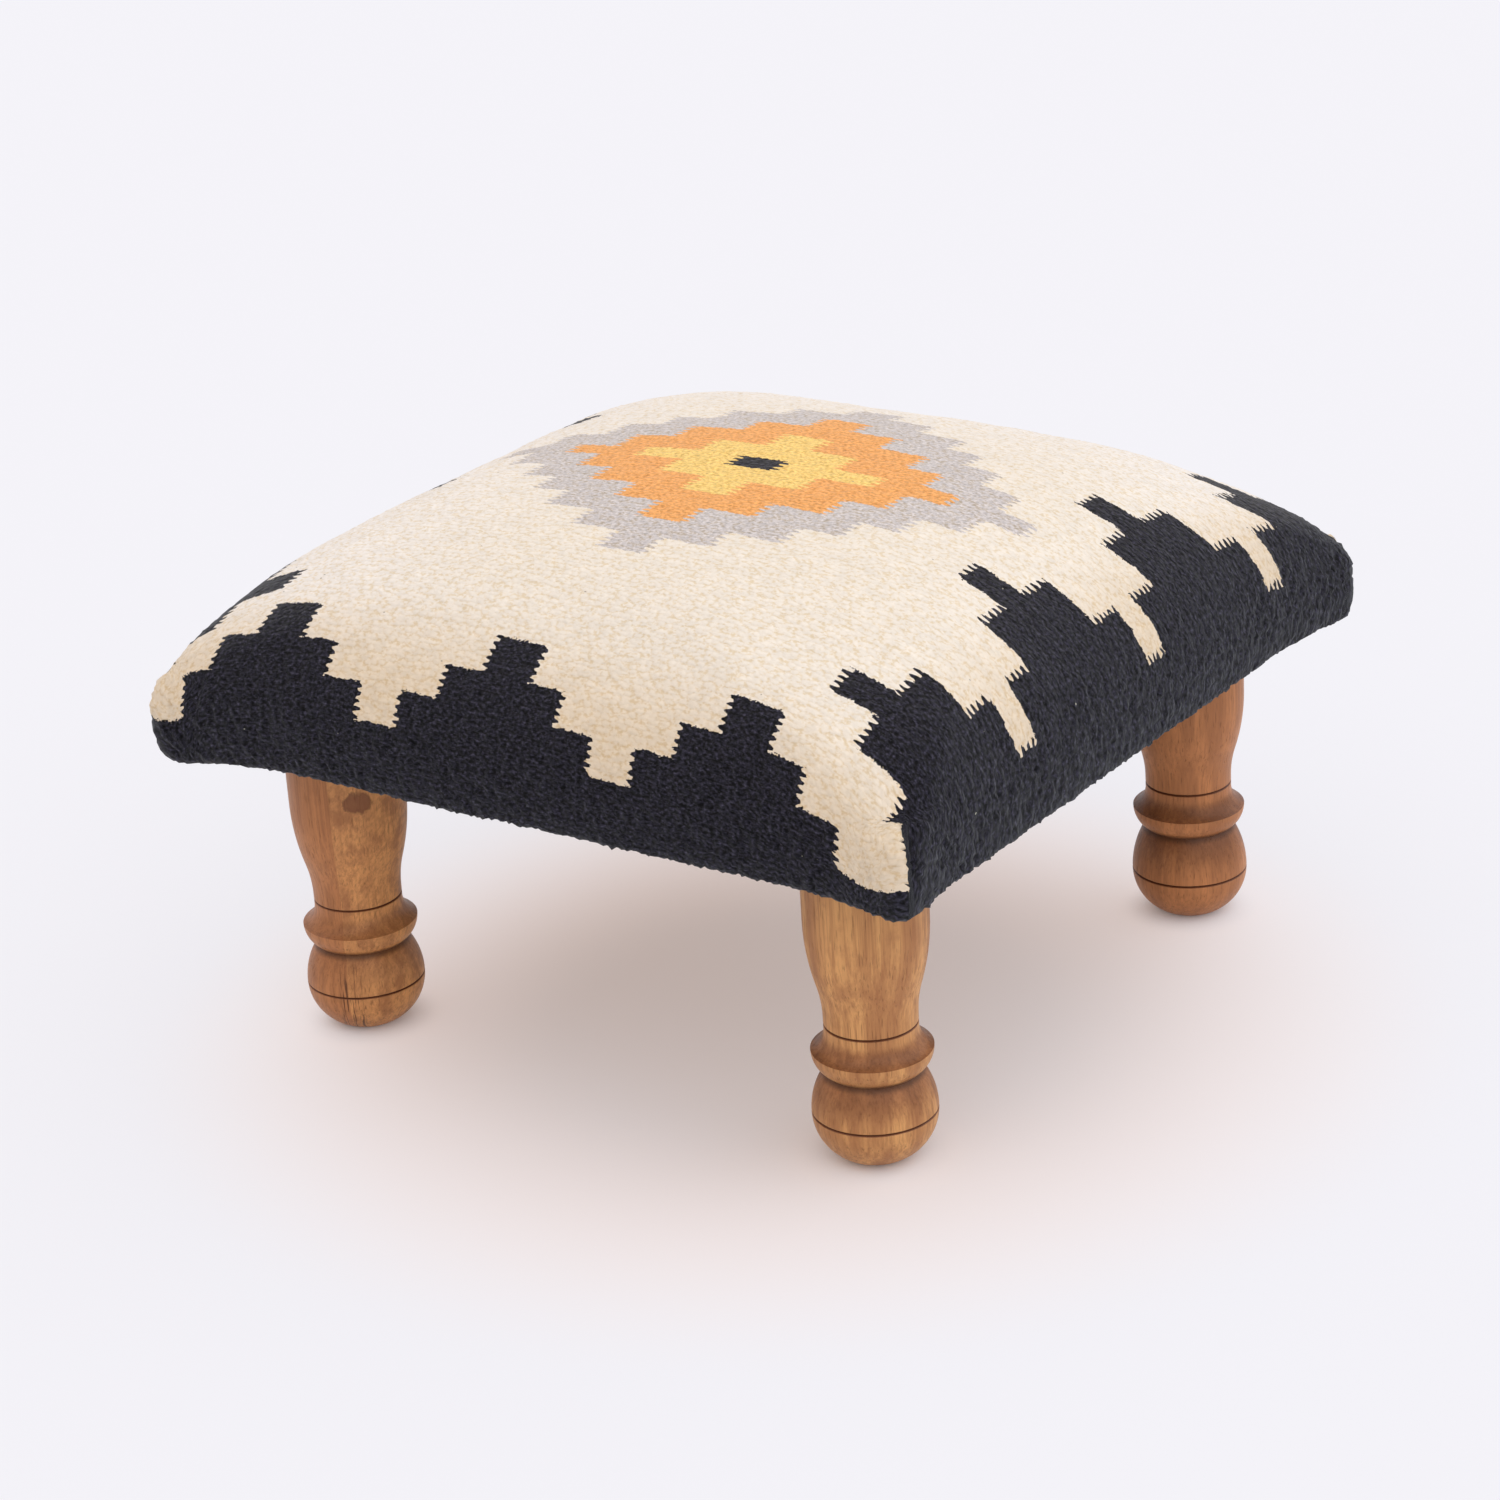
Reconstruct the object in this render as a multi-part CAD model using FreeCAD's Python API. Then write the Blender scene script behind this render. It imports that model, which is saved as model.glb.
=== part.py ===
import FreeCAD, Part
import math
import os

# Square footstool: a crowned pad under a woven cover, on a lapped frame with four turned legs.
# Millimetres, +Z up. The origin is on the floor, under the middle of the pad.
# The front edge of the pad faces -Y and the right edge faces +X.

# Covered pad
PAD_WIDTH = 366.0
PAD_HEIGHT = 92.5
PAD_UNDERSIDE = 135.0
COVER_THICKNESS = 3.5
WADDING_THICKNESS = 6.0
EDGE_WADDING_THICKNESS = 8.0
SOFT_CLEARANCE = 0.3

# The pad's side stands nearly upright as far as the shoulder, then rolls over into the crown.
# The crown's outline goes from a square with small round corners to nearly a circle.
SIDE_TUCK = 2.0
SHOULDER_RISE = 14.0
ROLL_EXPONENT = 2.05
ROLL_ROOT = 3.16
CORNER_LOW_SHARE = 0.06
CORNER_TOP_SHARE = 0.90
CORNER_EXPONENT = 1.87
CROWN_LEVELS = 10
CROWN_END_SHARE = 0.9995

# Frame and seat board
FRAME_CORNER_RADIUS = 10.0
RAIL_WIDTH = 70.0
RAIL_THICKNESS = 22.0
LAP_CLEARANCE = 0.2
BOARD_THICKNESS = 9.0

# Turned leg, from the floor up: heights above the floor and radii of the turning
LEG_EDGE_GAP = 17.3
BALL_RADIUS = 25.0
BALL_BASE_RADIUS = 11.0
BALL_HEIGHT = 20.0
WAIST_RADIUS = 19.2
WAIST_HEIGHT = 37.5
BEAD_RADIUS = 24.2
BEAD_HEIGHT = 46.7
NECK_RADIUS = 18.6
NECK_START_HEIGHT = 55.0
NECK_END_HEIGHT = 60.0
LEG_TOP_RADIUS = 24.6
SHOULDER_HEIGHT = 102.0
FLARE_TURN_SHARE = 0.35
GROOVE_WIDTH = 1.2
GROOVE_DEPTH = 0.7

# The legs are turned by eye: on the rear right one the waist, the bead and the neck sit higher
REAR_RIGHT_TURNING_RISE = 3.0

# Hanger bolts and tee nuts
BOLT_RADIUS = 4.0
BOLT_BITE = 32.0
BOLT_POINT = 5.0
BOLT_TOP_GAP = 1.0
THREAD_CLEARANCE = 0.05
TEE_NUT_BARREL_RADIUS = 5.2
TEE_NUT_BARREL_LENGTH = 8.0
TEE_NUT_FLANGE_RADIUS = 10.5
TEE_NUT_FLANGE_THICKNESS = 1.5
TEE_NUT_CLEARANCE = 0.1

# Countersunk screws
SCREW_RADIUS = 1.75
SCREW_HEAD_RADIUS = 3.6
SCREW_HEAD_DEPTH = 2.2
SCREW_POINT = 3.5
LAP_SCREW_COVER = 2.5
LAP_SCREW_INSET = 12.0
BOARD_SCREW_COVER = 6.0

# Turned-in cover, lining and staples
TURN_IN_LEG_GAP = 5.0
LINING_THICKNESS = 0.8
LINING_LAP = 8.0
LINING_LEG_GAP = 0.6
STAPLE_CROWN = 10.0
STAPLE_LEG = 8.0
STAPLE_WIRE = 0.7
STAPLE_CLEARANCE = 0.05
COVER_STAPLES_PER_SIDE = 4
LINING_STAPLES_PER_SIDE = 4
STAPLE_ROW_SHARE = 0.8

# How far a cutting shape runs past the face that it cuts
OVERRUN = 1.0

# Places worked out from the sizes above
frame_half = PAD_WIDTH / 2 - COVER_THICKNESS - EDGE_WADDING_THICKNESS - 2 * SOFT_CLEARANCE
frame_bottom = PAD_UNDERSIDE + COVER_THICKNESS + SOFT_CLEARANCE
lap_height = frame_bottom + RAIL_THICKNESS / 2
frame_top = frame_bottom + RAIL_THICKNESS
board_top = frame_top + BOARD_THICKNESS
rail_middle = frame_half - RAIL_WIDTH / 2
leg_place = frame_half - LEG_EDGE_GAP - LEG_TOP_RADIUS
turn_in_edge = leg_place + LEG_TOP_RADIUS + TURN_IN_LEG_GAP
cover_staple_line = (turn_in_edge + LINING_LAP + frame_half) / 2
lining_half = turn_in_edge + LINING_LAP
lining_staple_line = turn_in_edge + LINING_LAP / 2
lining_bottom = PAD_UNDERSIDE - SOFT_CLEARANCE - LINING_THICKNESS
foam_inset = COVER_THICKNESS + WADDING_THICKNESS + 2 * SOFT_CLEARANCE

CORNERS = {
    "front_left": (-1, -1),
    "front_right": (1, -1),
    "rear_left": (-1, 1),
    "rear_right": (1, 1),
}
TURNING_RISES = {"rear_right": REAR_RIGHT_TURNING_RISE}
UP = FreeCAD.Vector(0, 0, 1)


def rounded_square(half, corner, z):
    """A level square wire with round corners, centred on the Z axis."""
    straight = half - corner
    middle = straight + corner * math.sqrt(0.5)
    edges = []
    for turn in range(4):
        spin = FreeCAD.Rotation(UP, 90 * turn)
        side_start = spin.multVec(FreeCAD.Vector(half, -straight, z))
        side_end = spin.multVec(FreeCAD.Vector(half, straight, z))
        corner_middle = spin.multVec(FreeCAD.Vector(middle, middle, z))
        corner_end = spin.multVec(FreeCAD.Vector(straight, half, z))
        edges.append(Part.LineSegment(side_start, side_end).toShape())
        edges.append(Part.Arc(side_end, corner_middle, corner_end).toShape())
    return Part.Wire(edges)


def square_prism(half, corner, bottom, top):
    """An upright block with round corners between two heights."""
    face = Part.Face(rounded_square(half, corner, bottom))
    return face.extrude(UP * (top - bottom))


def box_between(low, high):
    """A box from its lowest corner to its highest."""
    size = high - low
    return Part.makeBox(size.x, size.y, size.z, low)


def pad_form(inset):
    """The crowned form of the pad, drawn in by a layer of the given thickness all round."""
    half = PAD_WIDTH / 2 - inset
    bottom = PAD_UNDERSIDE + inset
    shoulder = bottom + SHOULDER_RISE
    rise = PAD_UNDERSIDE + PAD_HEIGHT - inset - shoulder
    levels = [rounded_square(half - SIDE_TUCK, half * CORNER_LOW_SHARE, bottom)]
    for level in range(CROWN_LEVELS + 1):
        height_share = CROWN_END_SHARE * math.sin(level / CROWN_LEVELS * math.pi / 2)
        reach = half * (1 - height_share ** ROLL_EXPONENT) ** (1 / ROLL_ROOT)
        growth_share = height_share ** CORNER_EXPONENT
        corner_share = CORNER_LOW_SHARE + (CORNER_TOP_SHARE - CORNER_LOW_SHARE) * growth_share
        levels.append(rounded_square(reach, reach * corner_share, shoulder + rise * height_share))
    return Part.makeLoft(levels, True, True)


def turned(points_and_arcs, x, y):
    """Turn a profile of edges in the XZ plane about the Z axis and set it at x, y."""
    solid = Part.Face(Part.Wire(points_and_arcs)).revolve(FreeCAD.Vector(), UP, 360)
    solid.translate(FreeCAD.Vector(x, y, 0))
    return solid


def profile_point(radius, height):
    """A point of a turning's profile."""
    return FreeCAD.Vector(radius, 0, height)


def line(start, end):
    """A straight edge of a turning's profile."""
    return Part.LineSegment(start, end).toShape()


def polygon_turned(points, x, y):
    """Turn a closed outline of straight edges about the Z axis and set it at x, y."""
    edges = [line(start, end) for start, end in zip(points, points[1:] + points[:1])]
    return turned(edges, x, y)


def upright_arc(upright, other):
    """An arc between two profile points that runs straight up at the first of them."""
    across = upright.x - other.x
    along = upright.z - other.z
    radius = (across * across + along * along) / (2 * across)
    centre = profile_point(upright.x - radius, upright.z)
    toward = (upright - centre) + (other - centre)
    middle = centre + toward * (abs(radius) / toward.Length)
    return Part.Arc(upright, middle, other).toShape()


def groove_ring(radius, height):
    """The ring that cuts a scored line round a turning."""
    return polygon_turned([
        profile_point(radius - GROOVE_DEPTH, height),
        profile_point(radius + OVERRUN, height - GROOVE_WIDTH / 2 * (1 + OVERRUN / GROOVE_DEPTH)),
        profile_point(radius + OVERRUN, height + GROOVE_WIDTH / 2 * (1 + OVERRUN / GROOVE_DEPTH)),
    ], 0, 0)


def bolt(x, y, clearance):
    """A hanger bolt, or with a clearance the bore that it runs in."""
    radius = BOLT_RADIUS + clearance
    bottom = frame_bottom - BOLT_BITE - clearance
    top = frame_top - BOLT_TOP_GAP
    return polygon_turned([
        profile_point(0, bottom),
        profile_point(radius, bottom + BOLT_POINT),
        profile_point(radius, top),
        profile_point(0, top),
    ], x, y)


def leg(x, y, rise):
    """One turned leg with its scored lines and the bore for its bolt."""
    neck_line = (NECK_START_HEIGHT + NECK_END_HEIGHT) / 2 + rise
    floor = profile_point(0, 0)
    base = profile_point(BALL_BASE_RADIUS, 0)
    ball = profile_point(BALL_RADIUS, BALL_HEIGHT)
    waist = profile_point(WAIST_RADIUS, WAIST_HEIGHT + rise)
    bead = profile_point(BEAD_RADIUS, BEAD_HEIGHT + rise)
    neck_start = profile_point(NECK_RADIUS, NECK_START_HEIGHT + rise)
    neck_end = profile_point(NECK_RADIUS, NECK_END_HEIGHT + rise)
    shoulder = profile_point(LEG_TOP_RADIUS, SHOULDER_HEIGHT)
    flare_turn = neck_end + (shoulder - neck_end) * FLARE_TURN_SHARE
    top = profile_point(LEG_TOP_RADIUS, frame_bottom)
    top_middle = profile_point(0, frame_bottom)
    profile = [
        line(floor, base),
        upright_arc(ball, base),
        upright_arc(ball, waist),
        upright_arc(bead, waist),
        upright_arc(neck_start, bead),
        line(neck_start, neck_end),
        upright_arc(neck_end, flare_turn),
        upright_arc(shoulder, flare_turn),
        line(shoulder, top),
        line(top, top_middle),
        line(top_middle, floor),
    ]
    solid = turned(profile, 0, 0)
    solid = solid.cut(groove_ring(BALL_RADIUS, BALL_HEIGHT))
    solid = solid.cut(groove_ring(NECK_RADIUS, neck_line))
    solid.translate(FreeCAD.Vector(x, y, 0))
    return solid.cut(bolt(x, y, THREAD_CLEARANCE))


def tee_nut(x, y):
    """A tee nut with its flange flush with the top of the frame."""
    bore = BOLT_RADIUS + THREAD_CLEARANCE
    flange_bottom = frame_top - TEE_NUT_FLANGE_THICKNESS
    barrel_bottom = flange_bottom - TEE_NUT_BARREL_LENGTH
    return polygon_turned([
        profile_point(bore, barrel_bottom),
        profile_point(TEE_NUT_BARREL_RADIUS, barrel_bottom),
        profile_point(TEE_NUT_BARREL_RADIUS, flange_bottom),
        profile_point(TEE_NUT_FLANGE_RADIUS, flange_bottom),
        profile_point(TEE_NUT_FLANGE_RADIUS, frame_top),
        profile_point(bore, frame_top),
    ], x, y)


def tee_nut_bore(x, y):
    """The hole through a corner lap for the barrel, with a recess for the flange."""
    barrel = TEE_NUT_BARREL_RADIUS + TEE_NUT_CLEARANCE
    flange = TEE_NUT_FLANGE_RADIUS + TEE_NUT_CLEARANCE
    flange_bottom = frame_top - TEE_NUT_FLANGE_THICKNESS
    return polygon_turned([
        profile_point(0, frame_bottom - OVERRUN),
        profile_point(barrel, frame_bottom - OVERRUN),
        profile_point(barrel, flange_bottom),
        profile_point(flange, flange_bottom),
        profile_point(flange, frame_top + OVERRUN),
        profile_point(0, frame_top + OVERRUN),
    ], x, y)


def screw(x, y, head, point, clearance):
    """A countersunk screw from its head's face to its point, or the hole that it sits in."""
    way = 1 if point > head else -1
    shank = SCREW_RADIUS + clearance
    tip = point + way * clearance
    return polygon_turned([
        profile_point(0, head),
        profile_point(SCREW_HEAD_RADIUS + clearance, head),
        profile_point(shank, head + way * SCREW_HEAD_DEPTH),
        profile_point(shank, tip - way * SCREW_POINT),
        profile_point(0, tip),
    ], x, y)


def lap_screws(clearance):
    """One screw up through the outer corner of each lap."""
    place = frame_half - LAP_SCREW_INSET
    point = frame_top - LAP_SCREW_COVER
    return [screw(x * place, y * place, frame_bottom, point, clearance) for x, y in CORNERS.values()]


def board_screws(clearance):
    """One screw down through the seat board into the middle of each rail."""
    point = frame_bottom + BOARD_SCREW_COVER
    places = ((0, -rail_middle), (rail_middle, 0), (0, rail_middle), (-rail_middle, 0))
    return [screw(x, y, board_top, point, clearance) for x, y in places]


def staple(crown_bottom, grow):
    """A staple on the origin with its crown along Y, or with growth the slot that it sits in."""
    half_crown = STAPLE_CROWN / 2 + grow
    half_wire = STAPLE_WIRE / 2 + grow
    tip = crown_bottom + STAPLE_LEG + grow
    crown_top = crown_bottom + STAPLE_WIRE + grow
    outer = box_between(
        FreeCAD.Vector(-half_wire, -half_crown, crown_bottom),
        FreeCAD.Vector(half_wire, half_crown, tip))
    inner_half = STAPLE_CROWN / 2 - STAPLE_WIRE - grow
    gap = box_between(
        FreeCAD.Vector(-half_wire - OVERRUN, -inner_half, crown_top),
        FreeCAD.Vector(half_wire + OVERRUN, inner_half, tip + OVERRUN))
    return outer.cut(gap)


def staple_row(reach, crown_bottom, count, grow):
    """Staples along all four sides, their crowns in line with the edge."""
    pitch = 2 * reach * STAPLE_ROW_SHARE / (count - 1)
    solids = []
    for turn in range(4):
        for step in range(count):
            along = (step - (count - 1) / 2) * pitch
            solid = staple(crown_bottom, grow)
            solid.translate(FreeCAD.Vector(reach, along, 0))
            solid.rotate(FreeCAD.Vector(), UP, 90 * turn)
            solids.append(solid)
    return solids


def cover_staples(grow):
    """Staples whose crowns lie flush in the turned-in edge of the cover."""
    return staple_row(cover_staple_line, PAD_UNDERSIDE, COVER_STAPLES_PER_SIDE, grow)


def lining_staples(grow):
    """Staples whose crowns lie against the lining from below."""
    return staple_row(lining_staple_line, lining_bottom - STAPLE_WIRE, LINING_STAPLES_PER_SIDE, grow)


def kilim_cover():
    """The woven shell with its edge turned in under the frame."""
    window = square_prism(turn_in_edge, SOFT_CLEARANCE, PAD_UNDERSIDE - OVERRUN, frame_bottom)
    shell = pad_form(0).cut(pad_form(COVER_THICKNESS)).cut(window)
    return shell.cut(cover_staples(STAPLE_CLEARANCE) + lining_staples(STAPLE_CLEARANCE))


def foam_space(inset):
    """The part of the pad's form, drawn in by an inset, that lies above the seat board."""
    half = PAD_WIDTH / 2
    low = FreeCAD.Vector(-half, -half, board_top + inset - foam_inset + SOFT_CLEARANCE)
    high = FreeCAD.Vector(half, half, PAD_UNDERSIDE + PAD_HEIGHT)
    return pad_form(inset).common(box_between(low, high))


def wadding():
    """The soft layer under the cover, carried down round the seat board and the frame."""
    core_half = frame_half + SOFT_CLEARANCE
    core_corner = FRAME_CORNER_RADIUS + SOFT_CLEARANCE
    core = square_prism(core_half, core_corner, frame_bottom - OVERRUN, board_top + SOFT_CLEARANCE)
    layer = pad_form(COVER_THICKNESS + SOFT_CLEARANCE)
    return layer.cut(core).cut(foam_space(foam_inset - SOFT_CLEARANCE))


def rail(side, runs_along_x, fasteners):
    """One rail, half-lapped at both ends: the rails along X lie under those along Y."""
    inner = frame_half - RAIL_WIDTH
    low = FreeCAD.Vector(-frame_half, inner, frame_bottom)
    high = FreeCAD.Vector(frame_half, frame_half, frame_top)
    if runs_along_x:
        lap_bottom = lap_height
        lap_top = frame_top + OVERRUN
    else:
        lap_bottom = frame_bottom - OVERRUN
        lap_top = lap_height
    solid = box_between(low, high)
    for end in (-1, 1):
        ends = sorted((end * (inner - LAP_CLEARANCE), end * (frame_half + OVERRUN)))
        lap_low = FreeCAD.Vector(ends[0], inner - OVERRUN, lap_bottom)
        lap_high = FreeCAD.Vector(ends[1], frame_half + OVERRUN, lap_top)
        solid = solid.cut(box_between(lap_low, lap_high))
    if runs_along_x:
        turn = 0 if side > 0 else 180
    else:
        turn = -90 if side > 0 else 90
    solid.rotate(FreeCAD.Vector(), UP, turn)
    solid = solid.common(square_prism(frame_half, FRAME_CORNER_RADIUS, frame_bottom, frame_top))
    return solid.cut(fasteners)


def seat_board(fasteners):
    """The plywood board over the frame."""
    return square_prism(frame_half, FRAME_CORNER_RADIUS, frame_top, board_top).cut(fasteners)


def bottom_lining():
    """The cloth that closes the underside, cut out round the legs."""
    top = lining_bottom + LINING_THICKNESS
    sheet = square_prism(lining_half, LINING_LAP, lining_bottom, top)
    holes = []
    for side_x, side_y in CORNERS.values():
        place = FreeCAD.Vector(side_x * leg_place, side_y * leg_place, lining_bottom - OVERRUN)
        holes.append(Part.makeCylinder(LEG_TOP_RADIUS + LINING_LEG_GAP, LINING_THICKNESS + 2 * OVERRUN, place))
    return sheet.cut(holes + lining_staples(STAPLE_CLEARANCE))


def at_each_leg(make, *sizes):
    """One solid at each leg's place."""
    return [make(x * leg_place, y * leg_place, *sizes) for x, y in CORNERS.values()]


def save(name, shape):
    """Write one piece, or one group of like fasteners, to its own file."""
    if isinstance(shape, list):
        shape = Part.makeCompound(shape)
    shape.exportStep(f"parts/{name}.step")


def main():
    os.makedirs("parts", exist_ok=True)
    for corner, (side_x, side_y) in CORNERS.items():
        rise = TURNING_RISES.get(corner, 0)
        save(f"{corner}_leg", leg(side_x * leg_place, side_y * leg_place, rise))
    rail_holes = at_each_leg(tee_nut_bore) + lap_screws(THREAD_CLEARANCE) + board_screws(THREAD_CLEARANCE)
    rail_holes += cover_staples(STAPLE_CLEARANCE) + lining_staples(STAPLE_CLEARANCE)
    save("front_rail", rail(-1, True, rail_holes))
    save("rear_rail", rail(1, True, rail_holes))
    save("left_rail", rail(-1, False, rail_holes))
    save("right_rail", rail(1, False, rail_holes))
    save("seat_board", seat_board(board_screws(THREAD_CLEARANCE)))
    save("hanger_bolts", at_each_leg(bolt, 0))
    save("tee_nuts", at_each_leg(tee_nut))
    save("lap_screws", lap_screws(0))
    save("board_screws", board_screws(0))
    save("foam_pad", foam_space(foam_inset))
    save("wadding", wadding())
    save("kilim_cover", kilim_cover())
    save("cover_staples", cover_staples(0))
    save("bottom_lining", bottom_lining())
    save("lining_staples", lining_staples(0))


main()
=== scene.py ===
import math
from typing import NamedTuple

import bpy
import numpy as np
from bpy.props import FloatProperty, FloatVectorProperty, IntProperty, PointerProperty
from mathutils import Color, Matrix, Vector, noise


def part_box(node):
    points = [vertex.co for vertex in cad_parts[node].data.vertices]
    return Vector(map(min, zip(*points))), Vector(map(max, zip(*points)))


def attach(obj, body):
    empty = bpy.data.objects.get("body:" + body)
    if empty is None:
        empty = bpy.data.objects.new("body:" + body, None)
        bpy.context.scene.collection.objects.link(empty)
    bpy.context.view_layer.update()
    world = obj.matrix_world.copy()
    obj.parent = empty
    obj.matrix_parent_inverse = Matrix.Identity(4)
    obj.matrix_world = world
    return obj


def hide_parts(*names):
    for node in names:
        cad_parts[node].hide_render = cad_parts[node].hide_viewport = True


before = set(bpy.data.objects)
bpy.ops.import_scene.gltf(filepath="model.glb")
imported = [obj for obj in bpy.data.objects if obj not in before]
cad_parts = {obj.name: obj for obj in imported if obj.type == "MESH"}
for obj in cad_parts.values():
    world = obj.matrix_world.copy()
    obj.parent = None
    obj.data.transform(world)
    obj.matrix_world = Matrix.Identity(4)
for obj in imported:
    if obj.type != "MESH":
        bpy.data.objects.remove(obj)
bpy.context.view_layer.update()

bl_info = {
    "name": "Kilim Footstool",
    "version": (1, 0, 0),
    "blender": (4, 5, 0),
    "location": "View3D > Sidebar > Footstool",
    "description": "Dresses a low footstool: woven kilim over a crowned pad, on turned hardwood legs",
    "category": "Object",
}

# Metres, +Z up. The origin is on the floor under the middle of the pad, and the front faces -Y.
COVER_LOW, COVER_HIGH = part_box("kilim_cover")
LINING_LOW, LINING_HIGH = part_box("bottom_lining")
BOARD_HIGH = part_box("seat_board")[1]
RAIL_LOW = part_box("front_rail")[0]
LEG_NODES = ("front_left_leg", "front_right_leg", "rear_left_leg", "rear_right_leg")
RAIL_NODES = ("front_rail", "rear_rail", "left_rail", "right_rail")
STEEL_NODES = ("hanger_bolts", "tee_nuts", "lap_screws", "board_screws", "cover_staples", "lining_staples")
SETTINGS = "footstool"


def length(name, description, default):
    """A size in metres that a user may change."""
    return FloatProperty(name=name, description=description, default=default, unit="LENGTH", precision=4)


def share(name, description, default):
    """A plain number that a user may change."""
    return FloatProperty(name=name, description=description, default=default, precision=3)


def tally(name, description, default):
    """A whole number that a user may change."""
    return IntProperty(name=name, description=description, default=default)


def lengths(name, description, default):
    """A row of sizes in metres."""
    return FloatVectorProperty(
        name=name, description=description, default=default, size=len(default), unit="LENGTH", precision=4)


def dye(name, description, red, green, blue):
    """A colour given as it looks on a screen, from 0 to 255."""
    default = (red / 255, green / 255, blue / 255)
    return FloatVectorProperty(
        name=name, description=description, default=default, size=3, subtype="COLOR_GAMMA", min=0, max=1)


def angle(name, description, degrees):
    """An angle, written in degrees."""
    return FloatProperty(name=name, description=description, default=math.radians(degrees), subtype="ANGLE")


class PadSettings(bpy.types.PropertyGroup):
    """The crowned form that the cover, the wadding and the foam share."""
    width: length("Width", "Width of the covered pad", COVER_HIGH.x - COVER_LOW.x)
    underside: length("Underside", "Height of the pad's underside above the floor", COVER_LOW.z)
    top: length("Top", "Height of the crown above the floor", COVER_HIGH.z)
    shoulder_rise: length("Shoulder Rise", "How far the side stands upright above the underside", 0.014)
    side_tuck: length("Side Tuck", "How far the side draws in towards its bottom edge", 0.002)
    roll_exponent: share("Roll Exponent", "How quickly the side rolls over into the crown", 2.05)
    roll_root: share("Roll Root", "How full the crown stays towards its middle", 3.16)
    corner_low: share("Low Corner", "Corner radius at the shoulder, as a share of the half width", 0.06)
    corner_top: share("Top Corner", "Corner radius at the crown, as a share of the reach there", 0.90)
    corner_exponent: share("Corner Exponent", "How late the corners grow round", 1.87)


class CoverSettings(bpy.types.PropertyGroup):
    """The woven cover: its cloth, folds and the way it is pulled under."""
    thickness: length("Thickness", "Thickness of the woven cloth", 0.0035)
    rings: tally("Rings", "Rings of faces from the middle to the edge", 136)
    edge_round: length("Edge Round", "Radius of the bottom edge", 0.0036)
    edge_roll: length("Edge Roll", "How far the rolled bottom edge hangs below the underside", 0.0009)
    edge_roll_width: length("Edge Roll Width", "How far in from the side the rolled edge reaches", 0.010)
    turn_in_edge: length("Turned-in Edge", "Half the opening left by the turned-in cloth", 0.1586)
    slack: length("Slack", "How far the cloth starts inside its filled form", 0.0012)
    pressure: share("Pressure", "How hard the filling pushes the cloth out", 4.0)
    most_move: length("Most Movement", "How far the filling may push a point of the cloth", 0.0022)
    corner_tighten: length(
        "Corner Tighten", "How much smaller a corner's radius gets below the shoulder", 0.0015)
    corner_bulge: length("Corner Bulge", "How far the doubled cloth swells at a corner", 0.0020)
    fold_height: length("Fold Height", "How far the flap of a corner fold stands proud", 0.0015)
    fold_reach: length("Fold Reach", "How far along the side the folded cloth tapers off", 0.016)
    fold_top: length("Fold Top", "Height above the underside where the fold runs out", 0.035)
    fold_across: length("Fold Across", "Place of the flap's edge across the flat cloth", 0.193)
    fold_along: lengths(
        "Fold Along", "Place of a flap's upper end along the flat cloth, at the left and at the right",
        (0.1845, 0.1795))
    fold_side: length("Fold Side", "Place along the flat cloth where the side goes under the flap", 0.1735)
    fold_columns: tally("Fold Columns", "Columns of faces that a front flap reaches past its corner", 1)
    rear_fold_columns: tally(
        "Rear Fold Columns", "Columns of faces that a rear flap reaches past its corner", -4)
    fold_press: share("Fold Press", "How much of a flap's height is pressed flat at the bottom edge", 0.75)
    bunch_drop: length("Bunch Drop", "How far the cloth bunched under a corner hangs down", 0.0016)
    bunch_off: length("Bunch Offset", "How far from the fold the bunched cloth is thickest", 0.010)
    bunch_reach: length("Bunch Reach", "How far along the edge the bunched cloth tapers off", 0.024)
    left_fullness: length("Left Fullness", "How much fuller the left side is stuffed", 0.0024)
    rear_slackness: length("Rear Slackness", "How much lower the crown lies towards the rear right", 0.0020)
    corner_fullness: length("Corner Fullness", "How much fuller two of the corners are stuffed", 0.0024)
    right_sag: length("Right Sag", "How much lower the right side's bottom edge hangs", 0.0023)
    unevenness: length("Unevenness", "Lumps of the filling that show through", 0.0006)
    nap: length("Nap", "How far single yarns stand out at the sides", 0.0004)
    crown_nap: share("Crown Nap", "How much of that roughness is left on the worn crown", 0.3)


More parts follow.
